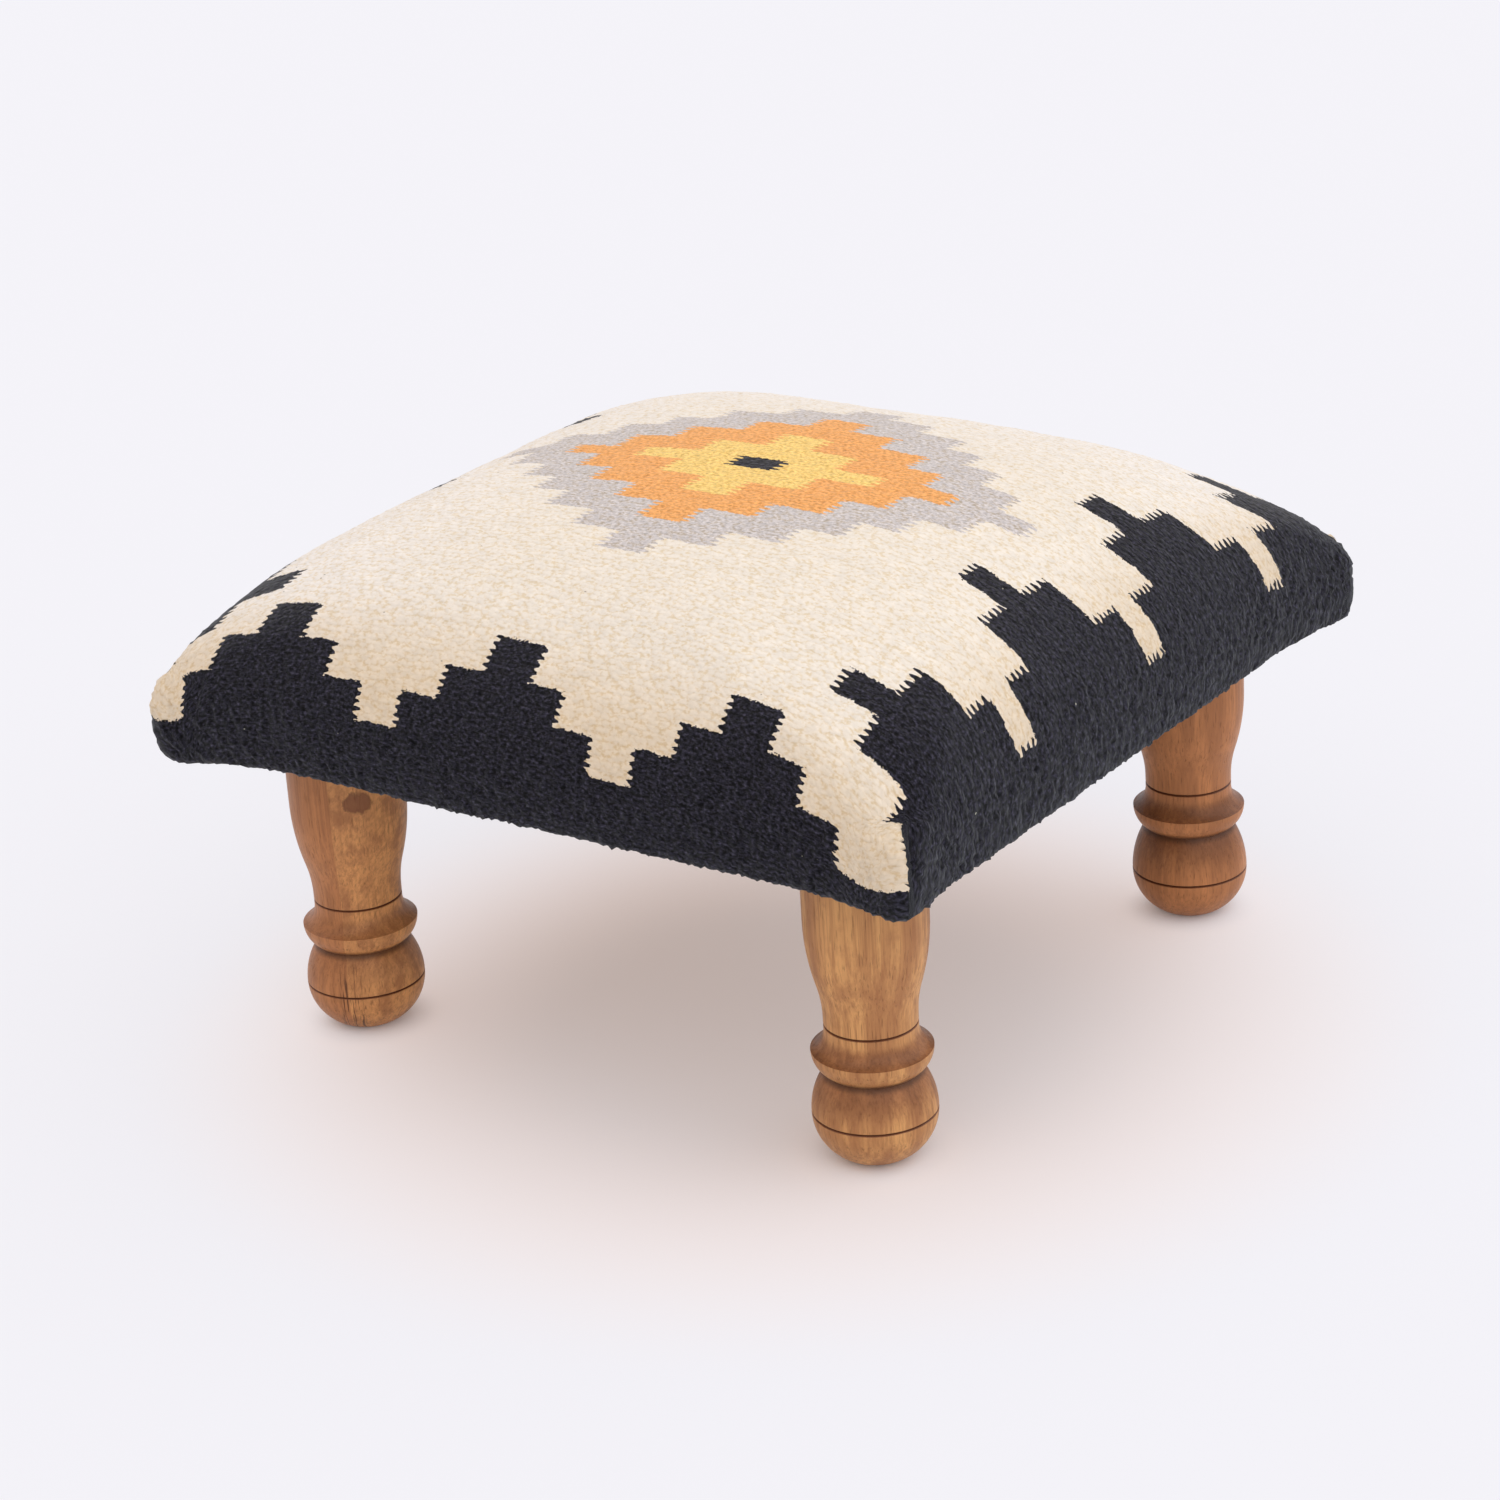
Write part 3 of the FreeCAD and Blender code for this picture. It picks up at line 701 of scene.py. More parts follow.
def leg_material(name, axis, turning, wood):
    """Oiled, turned hardwood with burnt score lines, and painted shade on upward faces and in the crease. The
    pith lies beside the turning's axis.
    """
    material, tree, shader = new_material(name, Specular_IOR_Level=0.25)
    x, y, z = parts_of(object_place(tree))
    x = x - axis.x
    y = y - axis.y
    point = vector_of(tree, x + turning.pith[0], y + turning.pith[1], z)
    grain = use_group(tree, wood_grain, {
        "Point": point, "Seed": turning.seed, "Ring Spacing": wood.ring_spacing, "Figure": GRAIN_FIGURE})
    straight = 1.0 - turning.curl
    figures = (
        grain["Bands"].ramp(0.36, 0.7) * (0.7 * straight),
        grain["Rings"] * 0.12,
        grain["Streaks"].ramp(0.4, 0.66) * (0.55 * straight),
        grain["Blotches"].ramp(0.45, 0.68) * turning.blotches,
        grain["Curls"].ramp(0.42, 0.7) * turning.curl,
    )
    colour = linear(getattr(wood, turning.tone))
    for figure in figures:
        colour = mix(tree, figure, colour, linear(wood.late))
    if turning.seam:
        across = x * SEAM_ACROSS[0] + y * SEAM_ACROSS[1]
        colour = glued_seam(tree, colour, across, z, turning.seam, grain, wood)
    colour = mix(tree, grain["Pores"] * 0.32, colour, linear(wood.heart))
    if turning.knot:
        colour = knot_in(tree, colour, (x, y, z), turning.knot, grain, wood)
    # Upward faces turn darker: partly end grain, partly painted shade where the pad keeps light off them.
    upward = parts_of(add_node(tree, "ShaderNodeNewGeometry", output=1))[2]
    end_tone, end_share, dark_share = turning.end_grain_and_shade
    end_grain_and_shade = upward.ramp(0.0, 0.5)
    colour = mix(tree, end_grain_and_shade * end_share, colour, linear(getattr(wood, end_tone)))
    darker = grain["Bands"].ramp(0.38, 0.62) * 0.5 + grain["Streaks"].ramp(0.4, 0.68) * 0.5
    colour = mix(tree, end_grain_and_shade * darker * dark_share, colour, linear(wood.heart))
    # Painted shade in the crease between the ball foot and the bead.
    off_crease = (z - wood.crease - turning.rise).size()
    colour = mix(tree, off_crease.ramp(*CREASE_REACH) * 0.75, colour, linear(wood.heart))
    for height in (wood.ball_line, wood.neck_line + turning.rise):
        scored = (z - height).size().ramp(wood.line_width * 0.55, wood.line_width * 0.2)
        colour = mix(tree, scored, colour, linear(wood.burnt))
    relief = grain["Pores"] * -1.0 + grain["Streaks"] * 0.25
    connect(
        tree, shader,
        Base_Color=colour,
        Roughness=grain["Pores"] * 0.2 + grain["Streaks"] * 0.12 + 0.36,
        Normal=bump(tree, relief, distance=0.0002, strength=0.6))
    return material


def timber_material(name, colour, along_x, seed, wood):
    """Planed pale timber with its grain along one of the stool's sides."""
    material, tree, shader = new_material(name, Specular_IOR_Level=0.3)
    x, y, z = parts_of(object_place(tree))
    point = vector_of(tree, y, z, x) if along_x else vector_of(tree, x, z, y)
    spacing = wood.ring_spacing * TIMBER_RINGS
    grain = use_group(tree, wood_grain, {
        "Point": point, "Seed": seed, "Ring Spacing": spacing, "Figure": GRAIN_FIGURE})
    tone = mix(tree, grain["Rings"] * 0.35, linear(colour), linear(wood.late))
    tone = mix(tree, grain["Streaks"].ramp(0.5, 0.8) * 0.25, tone, linear(wood.oiled))
    relief = bump(tree, grain["Streaks"], distance=0.0003, strength=0.5)
    connect(tree, shader, Base_Color=tone, Roughness=grain["Streaks"] * 0.2 + 0.5, Normal=relief)
    return material


def zinc_material():
    """Zinc-plated steel of the bolts, nuts, screws and staples."""
    material, tree, shader = new_material("zinc_steel", Metallic=1.0)
    place = object_place(tree)
    spangle = noise_at(tree, place, 700.0, detail=3.0)
    dull = noise_at(tree, place, 90.0)
    tone = mix(tree, dull.ramp(0.4, 0.8) * 0.5, linear(ZINC_BRIGHT), linear(ZINC_DULL))
    relief = bump(tree, spangle, distance=0.0001, strength=0.4)
    connect(tree, shader, Base_Color=tone, Roughness=spangle * 0.25 + 0.25, Normal=relief)
    return material


def fibre_material(name, colour, scale, depth, contrast):
    """A soft fibrous finish for wadding and bonded cloth."""
    material, tree, shader = new_material(name, Roughness=0.95, Sheen_Weight=0.3, Specular_IOR_Level=0.1)
    fibres = use_group(tree, loose_fibres, {"Point": object_place(tree), "Scale": scale})
    shade = fibres["Fibres"] * contrast + fibres["Clumps"] * contrast + (1.0 - contrast)
    relief = bump(tree, fibres["Fibres"], distance=depth, strength=0.8)
    connect(tree, shader, Base_Color=tinted(tree, linear(colour), shade), Normal=relief)
    return material


def foam_material(colour):
    """Open-celled seat foam, a little yellowed, with painted shade in its cells."""
    material, tree, shader = new_material("seat_foam", Roughness=0.9, Specular_IOR_Level=0.15)
    place = object_place(tree)
    cells = add_node(tree, "ShaderNodeTexVoronoi", inputs={"Vector": place, "Scale": 900.0})
    aged = noise_at(tree, place, 18.0, detail=3.0)
    tone = mix(tree, aged.ramp(0.35, 0.7) * 0.4, linear(colour), linear(FOAM_AGED))
    # Painted shade in the cells' hollows.
    tone = mix(tree, cells.ramp(0.5, 0.1) * 0.5, tone, linear(FOAM_CELL_SHADE))
    connect(tree, shader, Base_Color=tone, Normal=bump(tree, cells, distance=0.0006, strength=0.8))
    return material


# The pad's form as rings of faces

# Halvings that find the crown's height over a point, and steps of the table of arcs over it
HALVINGS = 44
TABLE_STEPS = 240
# Least corner radius of the cloth turned in below, and how fast the corners shrink towards the middle
UNDER_CORNER = 0.001
RING_CORNER_POWER = 3
# How far below the shoulder a corner gets as tight as it will
TIGHTEN_REACH = 0.010
# Least radius of the bottom edge, and how many steps its turn is drawn in
LEAST_ROUND = 0.001
EDGE_TURNS = 6
# Guards against a division by zero, in metres and in square metres
LEAST_LENGTH = 1e-9
LEAST_AREA = 1e-12


def smooth(values, low, high):
    """A soft step from 0 at one value to 1 at the other."""
    way = np.clip((values - low) / (high - low), 0, 1)
    return way * way * (3 - 2 * way)


def square_gap(x, y, half, corner):
    """Distance from plan points to a square with round corners, below zero inside it."""
    over_x = np.abs(x) - (half - corner)
    over_y = np.abs(y) - (half - corner)
    outside = np.hypot(np.maximum(over_x, 0), np.maximum(over_y, 0))
    return outside + np.minimum(np.maximum(over_x, over_y), 0) - corner


class PadForm:
    """The pad's crowned form, drawn in by an inset, with distances measured along its surface."""

    def __init__(self, pad, inset=0.0):
        self.pad = pad
        self.half = pad.width / 2 - inset
        self.bottom = pad.underside + inset
        self.shoulder = self.bottom + pad.shoulder_rise
        self.rise = pad.top - inset - self.shoulder
        self.corner = self.half * pad.corner_low
        spread = np.sin(np.linspace(0, math.pi / 2, TABLE_STEPS + 1)) * self.half
        heights = self.height(*np.meshgrid(spread, spread, indexing="ij"))
        steps = np.hypot(np.diff(spread)[:, None], np.diff(heights, axis=0))
        self.spread = spread
        self.arcs = np.vstack([np.zeros(TABLE_STEPS + 1), np.cumsum(steps, axis=0)])
        self.crown_length = self.arcs[-1, 0]

    def height(self, x, y):
        """Height of the crown over plan points."""
        pad = self.pad
        low = np.zeros_like(x)
        high = np.ones_like(x)
        for _ in range(HALVINGS):
            level = (low + high) / 2
            reach = self.half * np.maximum(1 - level ** pad.roll_exponent, 0) ** (1 / pad.roll_root)
            corner = pad.corner_low + (pad.corner_top - pad.corner_low) * level ** pad.corner_exponent
            outside = square_gap(x, y, reach, reach * corner) > 0
            high = np.where(outside, level, high)
            low = np.where(outside, low, level)
        return self.shoulder + self.rise * low

    def table_steps(self, values):
        """How many steps of the table of arcs lie between the middle and these places."""
        return np.arcsin(np.clip(np.abs(values) / self.half, 0, 1)) / (math.pi / 2) * TABLE_STEPS

    def arc(self, along, beside):
        """Distance over the crown from the middle line, along one axis, at a place beside it."""
        rows = self.table_steps(along)
        columns = self.table_steps(beside)
        row = np.minimum(rows.astype(int), TABLE_STEPS - 1)
        column = np.minimum(columns.astype(int), TABLE_STEPS - 1)
        over = rows - row
        past = columns - column
        near = self.arcs[row, column] * (1 - past) + self.arcs[row, column + 1] * past
        far = self.arcs[row + 1, column] * (1 - past) + self.arcs[row + 1, column + 1] * past
        return np.copysign(near * (1 - over) + far * over, along)


def ring_numbers(rings):
    """Column, row and ring number of each point of a square grid, and its share along its side."""
    line = np.arange(-rings, rings + 1)
    column, row = np.meshgrid(line, line, indexing="ij")
    ring = np.maximum(np.abs(column), np.abs(row))
    along = np.minimum(np.abs(column), np.abs(row)) / np.maximum(ring, 1)
    return column, row, ring, along


def on_square(column, row, along, half, corner):
    """Plan points at a share along the sides of squares with round corners."""
    straight = half - corner
    way = along * (straight + corner * math.pi / 4)
    turn = np.maximum(way - straight, 0) / np.maximum(corner, LEAST_LENGTH)
    main = np.where(way > straight, straight + corner * np.cos(turn), half)
    cross = np.where(way > straight, straight + corner * np.sin(turn), way)
    wide = np.abs(column) >= np.abs(row)
    x = np.where(wide, main, cross) * np.sign(column)
    y = np.where(wide, cross, main) * np.sign(row)
    return x, y


class PadGrid:
    """A square grid of points laid over a pad's form and on down the given path of (reach, height) pairs."""

    def __init__(self, form, rings, path, tighten=0.0):
        self.form = form
        self.rings = rings
        self.column, self.row, self.ring, self.along = ring_numbers(rings)
        path = np.array(path)
        path_ways = np.concatenate([[0], np.cumsum(np.hypot(*np.diff(path, axis=0).T))])
        ways = np.linspace(0, form.crown_length + path_ways[-1], rings + 1)
        past = np.maximum(ways - form.crown_length, 0)
        crown_reach = np.interp(ways, form.arcs[:, 0], form.spread)
        reach = np.where(past > 0, np.interp(past, path_ways, path[:, 0]), crown_reach)
        drawn_in = form.half - reach
        crown_corner = form.corner * (reach / form.half) ** RING_CORNER_POWER
        tightened = tighten * smooth(past, 0, TIGHTEN_REACH)
        path_corner = np.maximum(form.corner - drawn_in - tightened, UNDER_CORNER)
        corner = np.where(past > 0, path_corner, crown_corner)
        self.past = past[self.ring]
        x, y = on_square(self.column, self.row, self.along, reach[self.ring], corner[self.ring])
        z = np.where(self.past > 0, np.interp(past, path_ways, path[:, 1])[self.ring], form.height(x, y))
        self.points = np.stack([x, y, z], axis=-1)

    def normals(self, points):
        """Unit normals of the grid, pointing out of the pad."""
        across = np.gradient(points, axis=0)
        along = np.gradient(points, axis=1)
        normal = np.cross(across, along)
        return normal / np.maximum(np.linalg.norm(normal, axis=-1, keepdims=True), LEAST_AREA)


def cover_path(pad, cover, inset):
    """Path of the cover past its shoulder: down the side, round the bottom edge and in under the frame."""
    half = pad.width / 2 - inset
    bottom = pad.underside + inset
    side = half - pad.side_tuck
    radius = max(cover.edge_round - inset, LEAST_ROUND)
    low = bottom - cover.edge_roll
    path = [(half, bottom + pad.shoulder_rise), (side, low + radius)]
    for turn in np.linspace(0, math.pi / 2, EDGE_TURNS + 1)[1:]:
        path.append((side - radius + radius * math.cos(turn), low + radius - radius * math.sin(turn)))
    path.append((side - cover.edge_roll_width, bottom))
    path.append((cover.turn_in_edge, bottom))
    return path


def grid_numbers(rings, start):
    """Numbers of a square grid's points, counted from start."""
    side = 2 * rings + 1
    return start + np.arange(side * side).reshape(side, side)


def cells_of(values):
    """The values at the four corners of each cell of a grid, in order round the cell."""
    return np.stack([values[:-1, :-1], values[1:, :-1], values[1:, 1:], values[:-1, 1:]], axis=-1)


def grid_faces(rings, start, flip):
    """Quads of a square grid, each beginning on a diagonal of the square."""
    quads = cells_of(grid_numbers(rings, start))
    quads[:rings, rings:] = np.roll(quads[:rings, rings:], 1, axis=-1)
    quads[rings:, :rings] = np.roll(quads[rings:, :rings], 1, axis=-1)
    quads = quads.reshape(-1, 4)
    return (quads[:, ::-1] if flip else quads).tolist()


def grid_border(rings, start):
    """Point numbers round the border of a square grid, in order."""
    first = grid_numbers(rings, start)
    return np.concatenate([first[:-1, 0], first[-1, :-1], first[:0:-1, -1], first[0, :0:-1]]).tolist()


def shell_object(name, outer, outer_rings, inner, inner_rings):
    """A closed shell: a fine outer grid and a coarser inner one, joined round their borders."""
    points = np.concatenate([outer.reshape(-1, 3), inner.reshape(-1, 3)])
    inner_start = (2 * outer_rings + 1) ** 2
    faces = grid_faces(outer_rings, 0, False) + grid_faces(inner_rings, inner_start, True)
    fine = grid_border(outer_rings, 0)
    coarse = grid_border(inner_rings, inner_start)
    per_edge = outer_rings // inner_rings
    for edge in range(len(coarse)):
        strip = [fine[(edge * per_edge + step) % len(fine)] for step in range(per_edge + 1)]
        faces.append(strip[::-1] + [coarse[edge], coarse[(edge + 1) % len(coarse)]])
    return mesh_object(name, points, faces)


def mesh_object(name, points, faces):
    """A smooth-shaded object from points and faces."""
    mesh = bpy.data.meshes.new(name)
    mesh.from_pydata(np.asarray(points).tolist(), [], faces)
    mesh.validate()
    mesh.shade_smooth()
    piece = bpy.data.objects.new(name, mesh)
    bpy.context.scene.collection.objects.link(piece)
    return piece


# Cover

# How long the cloth settles, and how it behaves meanwhile
SETTLE_FRAMES = 20
CLOTH = {
    "quality": 6,
    "mass": 0.4,
    "tension_stiffness": 25,
    "compression_stiffness": 25,
    "shear_stiffness": 12,
    "bending_stiffness": 2,
    "use_pressure": True,
}
# The inner faces of the cover and of the foam have every fourth line of their outer faces' grids
INNER_STEP = 4
YARN_SEED = 11
# The nap keeps at least this share where the cloth is turned in
LEAST_NAP = 0.1
# Lumps to a metre, and how many finer layers of lumps there are
STUFFING_LUMPS = (24.0, 2)
WADDING_LUMPS = (90.0, 3)
LINING_LUMPS = (30.0, 2)
# How far below its top a fold reaches its full height, and its cloth its own place on the pattern
FOLD_RUN_OUT = 0.012
PATTERN_RUN_OUT = 0.006
# From how far off a fold to how near it the flap's and the side's cloth take their place on the pattern
FLAP_PATTERN = (0.030, 0.006)
SIDE_PATTERN = (0.040, 0.003)
# From how far to how far past the upright side the cloth counts as lying under the frame
UNDER_REACH = (0.004, 0.016)
# Cloth that would be drawn by less than this share of a column stays where it is
LEAST_DRAWN = 0.01
# How many columns the side cloth is drawn towards a corner, by its columns from the flap's edge
DRAWN_COLUMNS = ((0, 1, 2, 3, 4, 5, 6, 8), (0, 0.94, 1.88, 1.9, 1.7, 1.3, 0.8, 0))
# How far into the side's black band the cloth hidden in a fold lies
TUCKED_SPARE = 0.009
# How far in below the pad the right edge's sag runs out
SAG_WIDTH = 0.009
# Columns of black side cloth beside a rear fold, for each column that the fold lies off its corner
BESIDE_REAR_FOLD = 2
# Where the stuffing changes: up from the shoulder, out to a side, and along the rear and the right sides
STUFFING_RISE = 0.020
STUFFING_SIDE = (0.06, 0.15)
STUFFING_REAR = (-0.10, -0.03)
STUFFING_CORNER = (0.11, 0.17)
STUFFING_EDGE = (0.150, 0.180)
STUFFING_FRONT = (-0.190, -0.165)
# How far above the shoulder the nap is worn down
WORN_RISE = 0.045
# How near the underside a staple's crown and the cloth under it lie, and how deep and wide it presses
STAPLE_CROWN = 0.0002
STAPLE_CLOTH = 0.0004
STAPLE_DEPTH = 0.0005
STAPLE_REACH = 0.0025


def settle(grid, points, cover):
    """Fill the cloth: a coarse copy of the grid swells under pressure with its turned-in edge held."""
    base = points[::2, ::2]
    rings = grid.rings // 2
    inward = grid.normals(base) * cover.slack
    free = (grid.past[::2, ::2] < cover.edge_round)[..., None]
    start = base - np.where(free, inward, 0)
    cloth = mesh_object("cover_settling", start.reshape(-1, 3), grid_faces(rings, 0, False))
    held = cloth.vertex_groups.new(name="held")
    held.add(np.flatnonzero(~free.reshape(-1)).tolist(), 1.0, "REPLACE")
    modifier = cloth.modifiers.new("filling", "CLOTH")
    for name, value in CLOTH.items():
        setattr(modifier.settings, name, value)
    modifier.settings.uniform_pressure_force = cover.pressure
    modifier.settings.vertex_group_mass = held.name
    modifier.settings.effector_weights.gravity = 0
    modifier.collision_settings.use_collision = False
    scene = bpy.context.scene
    for number in range(1, SETTLE_FRAMES + 1):
        scene.frame_set(number)
    settled = cloth.evaluated_get(bpy.context.evaluated_depsgraph_get())
    found = np.empty(len(settled.data.vertices) * 3)
    settled.data.vertices.foreach_get("co", found)
    scene.frame_set(1)
    bpy.data.objects.remove(cloth)
    moved = found.reshape(base.shape) - base
    far = np.linalg.norm(moved, axis=-1, keepdims=True)
    moved *= np.minimum(1, cover.most_move / np.maximum(far, LEAST_LENGTH))
    return between(between(moved, 0), 1)


def between(values, axis):
    """Values on every second line of a grid, with the lines between them filled in."""
    values = np.moveaxis(values, axis, 0)
    filled = np.empty((2 * len(values) - 1, *values.shape[1:]))
    filled[::2] = values
    filled[1::2] = (values[:-1] + values[1:]) / 2
    return np.moveaxis(filled, 0, axis)


class CornerFolds:
    """Where the points of a cover lie in its corner folds: the end cloth laps over the side cloth."""

    def __init__(self, grid, pad, cover):
        reach = np.where(grid.row < 0, cover.fold_columns, cover.rear_fold_columns)
        columns = np.abs(grid.column) - np.abs(grid.row) - reach
        wide = np.abs(grid.column) >= np.abs(grid.row)
        lines = [np.linalg.norm(np.gradient(grid.points, axis=axis), axis=-1) for axis in (1, 0)]
        self.columns = columns
        self.on_flap = columns <= 0
        self.flap_cloth = columns <= 1
        line = np.where(wide, *lines)
        self.past_fold = -columns * line
        self.away = np.where(self.flap_cloth, np.maximum(-columns, 0), columns - 2) * line
        level = np.where(grid.past > 0, grid.form.shoulder - grid.past, grid.points[..., 2])
        self.below_top = pad.underside + cover.fold_top - level
        tucked = (columns == 1) | (columns == 2)
        self.shown = 1 - np.where(tucked, smooth(self.below_top, 0, FOLD_RUN_OUT), 0)
        self.beside = (columns > 0) & (columns <= 2 - np.minimum(reach, 0) * BESIDE_REAR_FOLD)
        self.pressed = smooth(grid.past, 0, pad.shoulder_rise)
        self.under = smooth(grid.past, *(pad.shoulder_rise + past for past in UNDER_REACH))
        self.at_edge = self.pressed * (1 - self.under)


def fold_corners(grid, points, folds, cover):
    """Swell the doubled cloth at each corner and lift the flap's edge, so that it ends in a steep step."""
    depth = smooth(folds.below_top, 0, FOLD_RUN_OUT) * (1 - folds.under)
    reach = np.exp(-(folds.away / cover.fold_reach) ** 2)
    flap_height = cover.fold_height * (1 - cover.fold_press * folds.pressed)
    lift = reach * (cover.corner_bulge + np.where(folds.on_flap, flap_height, 0)) * depth
    moved = points + grid.normals(points) * lift[..., None]
    bunch = np.exp(-((folds.past_fold - cover.bunch_off) / cover.bunch_reach) ** 2)
    moved[..., 2] -= cover.bunch_drop * bunch * folds.at_edge
    drawn = np.interp(folds.columns, *DRAWN_COLUMNS) * depth
    pulled = moved.copy()
    for side_x in (-1, 1):
        for side_y in (-1, 1):
            corner = (np.sign(grid.column) == side_x) & (np.sign(grid.row) == side_y)
            columns, rows = np.nonzero(corner & (drawn > LEAST_DRAWN))
            whole = np.floor(drawn[columns, rows]).astype(int)
            part = (drawn[columns, rows] - whole)[:, None]
            near = points[columns, rows + side_y * whole]
            next_point = points[columns, rows + side_y * (whole + 1)]
            shift = near * (1 - part) + next_point * part - points[columns, rows]
            pulled[columns, rows] = moved[columns, rows] + shift
    return pulled


def stuff_by_hand(grid, points, cover, foot=None):
    """Uneven stuffing: full at the left and at two corners, slack at the rear right.

    With a foot, only what lies above it follows, so that an inner layer stays clear of the board.
    """
    x, y, z = np.moveaxis(points, -1, 0)
    pad = grid.form.pad
    start = foot or pad.underside + pad.shoulder_rise
    crown = smooth(z, start, start + STUFFING_RISE)
    upright = 1 - smooth(grid.past, pad.shoulder_rise, pad.shoulder_rise + STUFFING_RISE)
    left = smooth(-x, *STUFFING_SIDE) * crown
    rear_right = smooth(x, *STUFFING_CORNER) * smooth(y, *STUFFING_CORNER)
    front_left = smooth(-x, *STUFFING_CORNER) * smooth(-y, *STUFFING_CORNER)
    corner = (rear_right + front_left) * (1 - crown) * upright * (foot is None)
    rear = smooth(y, *STUFFING_SIDE) * smooth(x, *STUFFING_REAR) * (1 - smooth(x, *STUFFING_EDGE)) * crown
    swell = left * cover.left_fullness + corner * cover.corner_fullness - rear * cover.rear_slackness
    return points + grid.normals(points) * swell[..., None]


def sag_right(grid, points, folds, cover):
    """Let the right side's bottom edge hang lower than the others, as far as the staples."""
    rise = grid.form.pad.shoulder_rise
    edge = folds.pressed * (1 - smooth(grid.past, rise, rise + SAG_WIDTH))
    right = smooth(points[..., 0], *STUFFING_EDGE) * smooth(points[..., 1], *STUFFING_FRONT) * edge
    sagged = points.copy()
    sagged[..., 2] -= right * cover.right_sag
    return sagged


def cloth_places(grid, folds, cover, kilim):
    """Where each point lies on the flat cloth: across it, along its rows and along its side borders."""
    form = grid.form
    x, y = grid.points[..., 0], grid.points[..., 1]
    rim_x, rim_y = on_square(grid.column, grid.row, grid.along, form.half, form.corner)
    x = np.where(grid.past > 0, rim_x, x)
    y = np.where(grid.past > 0, rim_y, y)
    across = form.arc(x, y) + np.where(folds.flap_cloth, 0, grid.past) * np.sign(x)
    along = form.arc(y, x) + np.where(folds.flap_cloth, grid.past, 0) * np.sign(y)
    lean = np.maximum(kilim.lean + np.minimum(along, 0) * kilim.lean_change, kilim.lean_least)
    leaning = along - across * lean
    out = smooth(np.abs(across), kilim.side_steps[0], kilim.side_steps[-1])
    beside = along - kilim.side_stretch * out * (along + kilim.side_pitch)
    near_fold = smooth(folds.below_top, 0, PATTERN_RUN_OUT)
    flap = np.where(folds.flap_cloth, smooth(folds.away, *FLAP_PATTERN), 0) * near_fold
    side = np.where(folds.flap_cloth, 0, smooth(folds.away, *SIDE_PATTERN)) * near_fold
    flap_along = np.sign(y) * (np.where(x < 0, *cover.fold_along) + folds.below_top)
    side_along = np.sign(y) * (cover.fold_side - folds.away)
    across = across * (1 - flap) + np.sign(x) * (cover.fold_across - folds.away) * flap
    in_band = np.sign(x) * (kilim.side_steps[-1] + TUCKED_SPARE + np.maximum(folds.below_top, 0))
    across = np.where(folds.beside, across * (1 - near_fold) + in_band * near_fold, across)
    drawn = [rows * (1 - flap - side) + flap_along * flap + side_along * side for rows in (leaning, beside)]
    return np.stack([across, *drawn], axis=-1)


def lumps(points, scale, octaves):
    """Smooth noise at each point, from about -1 to 1."""
    flat = points.reshape(-1, 3)
    values = [noise.fractal(Vector(point) * scale, 1.0, 2.0, octaves) for point in flat]
    return np.array(values).reshape(points.shape[:-1])


def press_staples(points, pad):
    """Draw the turned-in cloth up where a staple's crown presses on it."""
    wire = np.array([vertex.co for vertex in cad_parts["cover_staples"].data.vertices])
    crowns = wire[wire[:, 2] < pad.underside + STAPLE_CROWN]
    flat = points.reshape(-1, 3)
    near = np.flatnonzero(flat[:, 2] < pad.underside + STAPLE_CLOTH)
    for index in near:
        gap = np.min(np.hypot(crowns[:, 0] - flat[index, 0], crowns[:, 1] - flat[index, 1]))
        flat[index, 2] += STAPLE_DEPTH * math.exp(-((gap / STAPLE_REACH) ** 2))
    return flat.reshape(points.shape)


class FOOTSTOOL_OT_kilim_cover(bpy.types.Operator):
    """Make the woven cover: filled by cloth simulation, folded at its corners and turned in below"""
    bl_idname = "footstool.kilim_cover"
    bl_label = "Kilim Cover"

    def execute(self, context):
        chosen = settings()
        pad, cover = chosen.pad, chosen.cover
        outer = PadGrid(PadForm(pad), cover.rings, cover_path(pad, cover, 0.0), cover.corner_tighten)
        inner_path = cover_path(pad, cover, cover.thickness)
        inner_rings = cover.rings // INNER_STEP
        inner = PadGrid(PadForm(pad, cover.thickness), inner_rings, inner_path, cover.corner_tighten)
        points = outer.points
        folds = CornerFolds(outer, pad, cover)
        cloth = cloth_places(outer, folds, cover, chosen.kilim)
        points = points + settle(outer, points, cover)
        points = stuff_by_hand(outer, points, cover)
        inside = inner.points + (points - outer.points)[::INNER_STEP, ::INNER_STEP]
        points = sag_right(outer, points, folds, cover)
        points = fold_corners(outer, points, folds, cover)
        outside = np.clip(1 - (outer.past - pad.shoulder_rise) / cover.edge_roll_width, LEAST_NAP, 1)
        shoulder = outer.form.shoulder
        worn = 1 - (1 - cover.crown_nap) * smooth(points[..., 2], shoulder, shoulder + WORN_RISE)
        yarns = np.random.default_rng(YARN_SEED).standard_normal(worn.shape) * worn
        proud = lumps(points, *STUFFING_LUMPS) * cover.unevenness + yarns * cover.nap
        points = points + outer.normals(points) * (proud * outside * folds.shown)[..., None]
        points = press_staples(points, pad)
        piece = shell_object("kilim_cover_woven", points, outer.rings, inside, inner.rings)
        places = np.zeros((len(piece.data.vertices), 3))
        places[:cloth.size // 3] = cloth.reshape(-1, 3)
        piece.data.attributes.new("cloth", "FLOAT_VECTOR", "POINT").data.foreach_set("vector", places.ravel())
        piece.data.materials.append(kilim_material(chosen.kilim))
        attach(piece, "root")
        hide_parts("kilim_cover")
        return {"FINISHED"}


# Rings of faces of the wadding's two faces and of the foam
WADDING_RINGS = 64
WADDING_INNER_RINGS = 32
FOAM_RINGS = 48
# The foam's foot is drawn in to this share, clear of the wadding
FOAM_FOOT_SHARE = 0.985


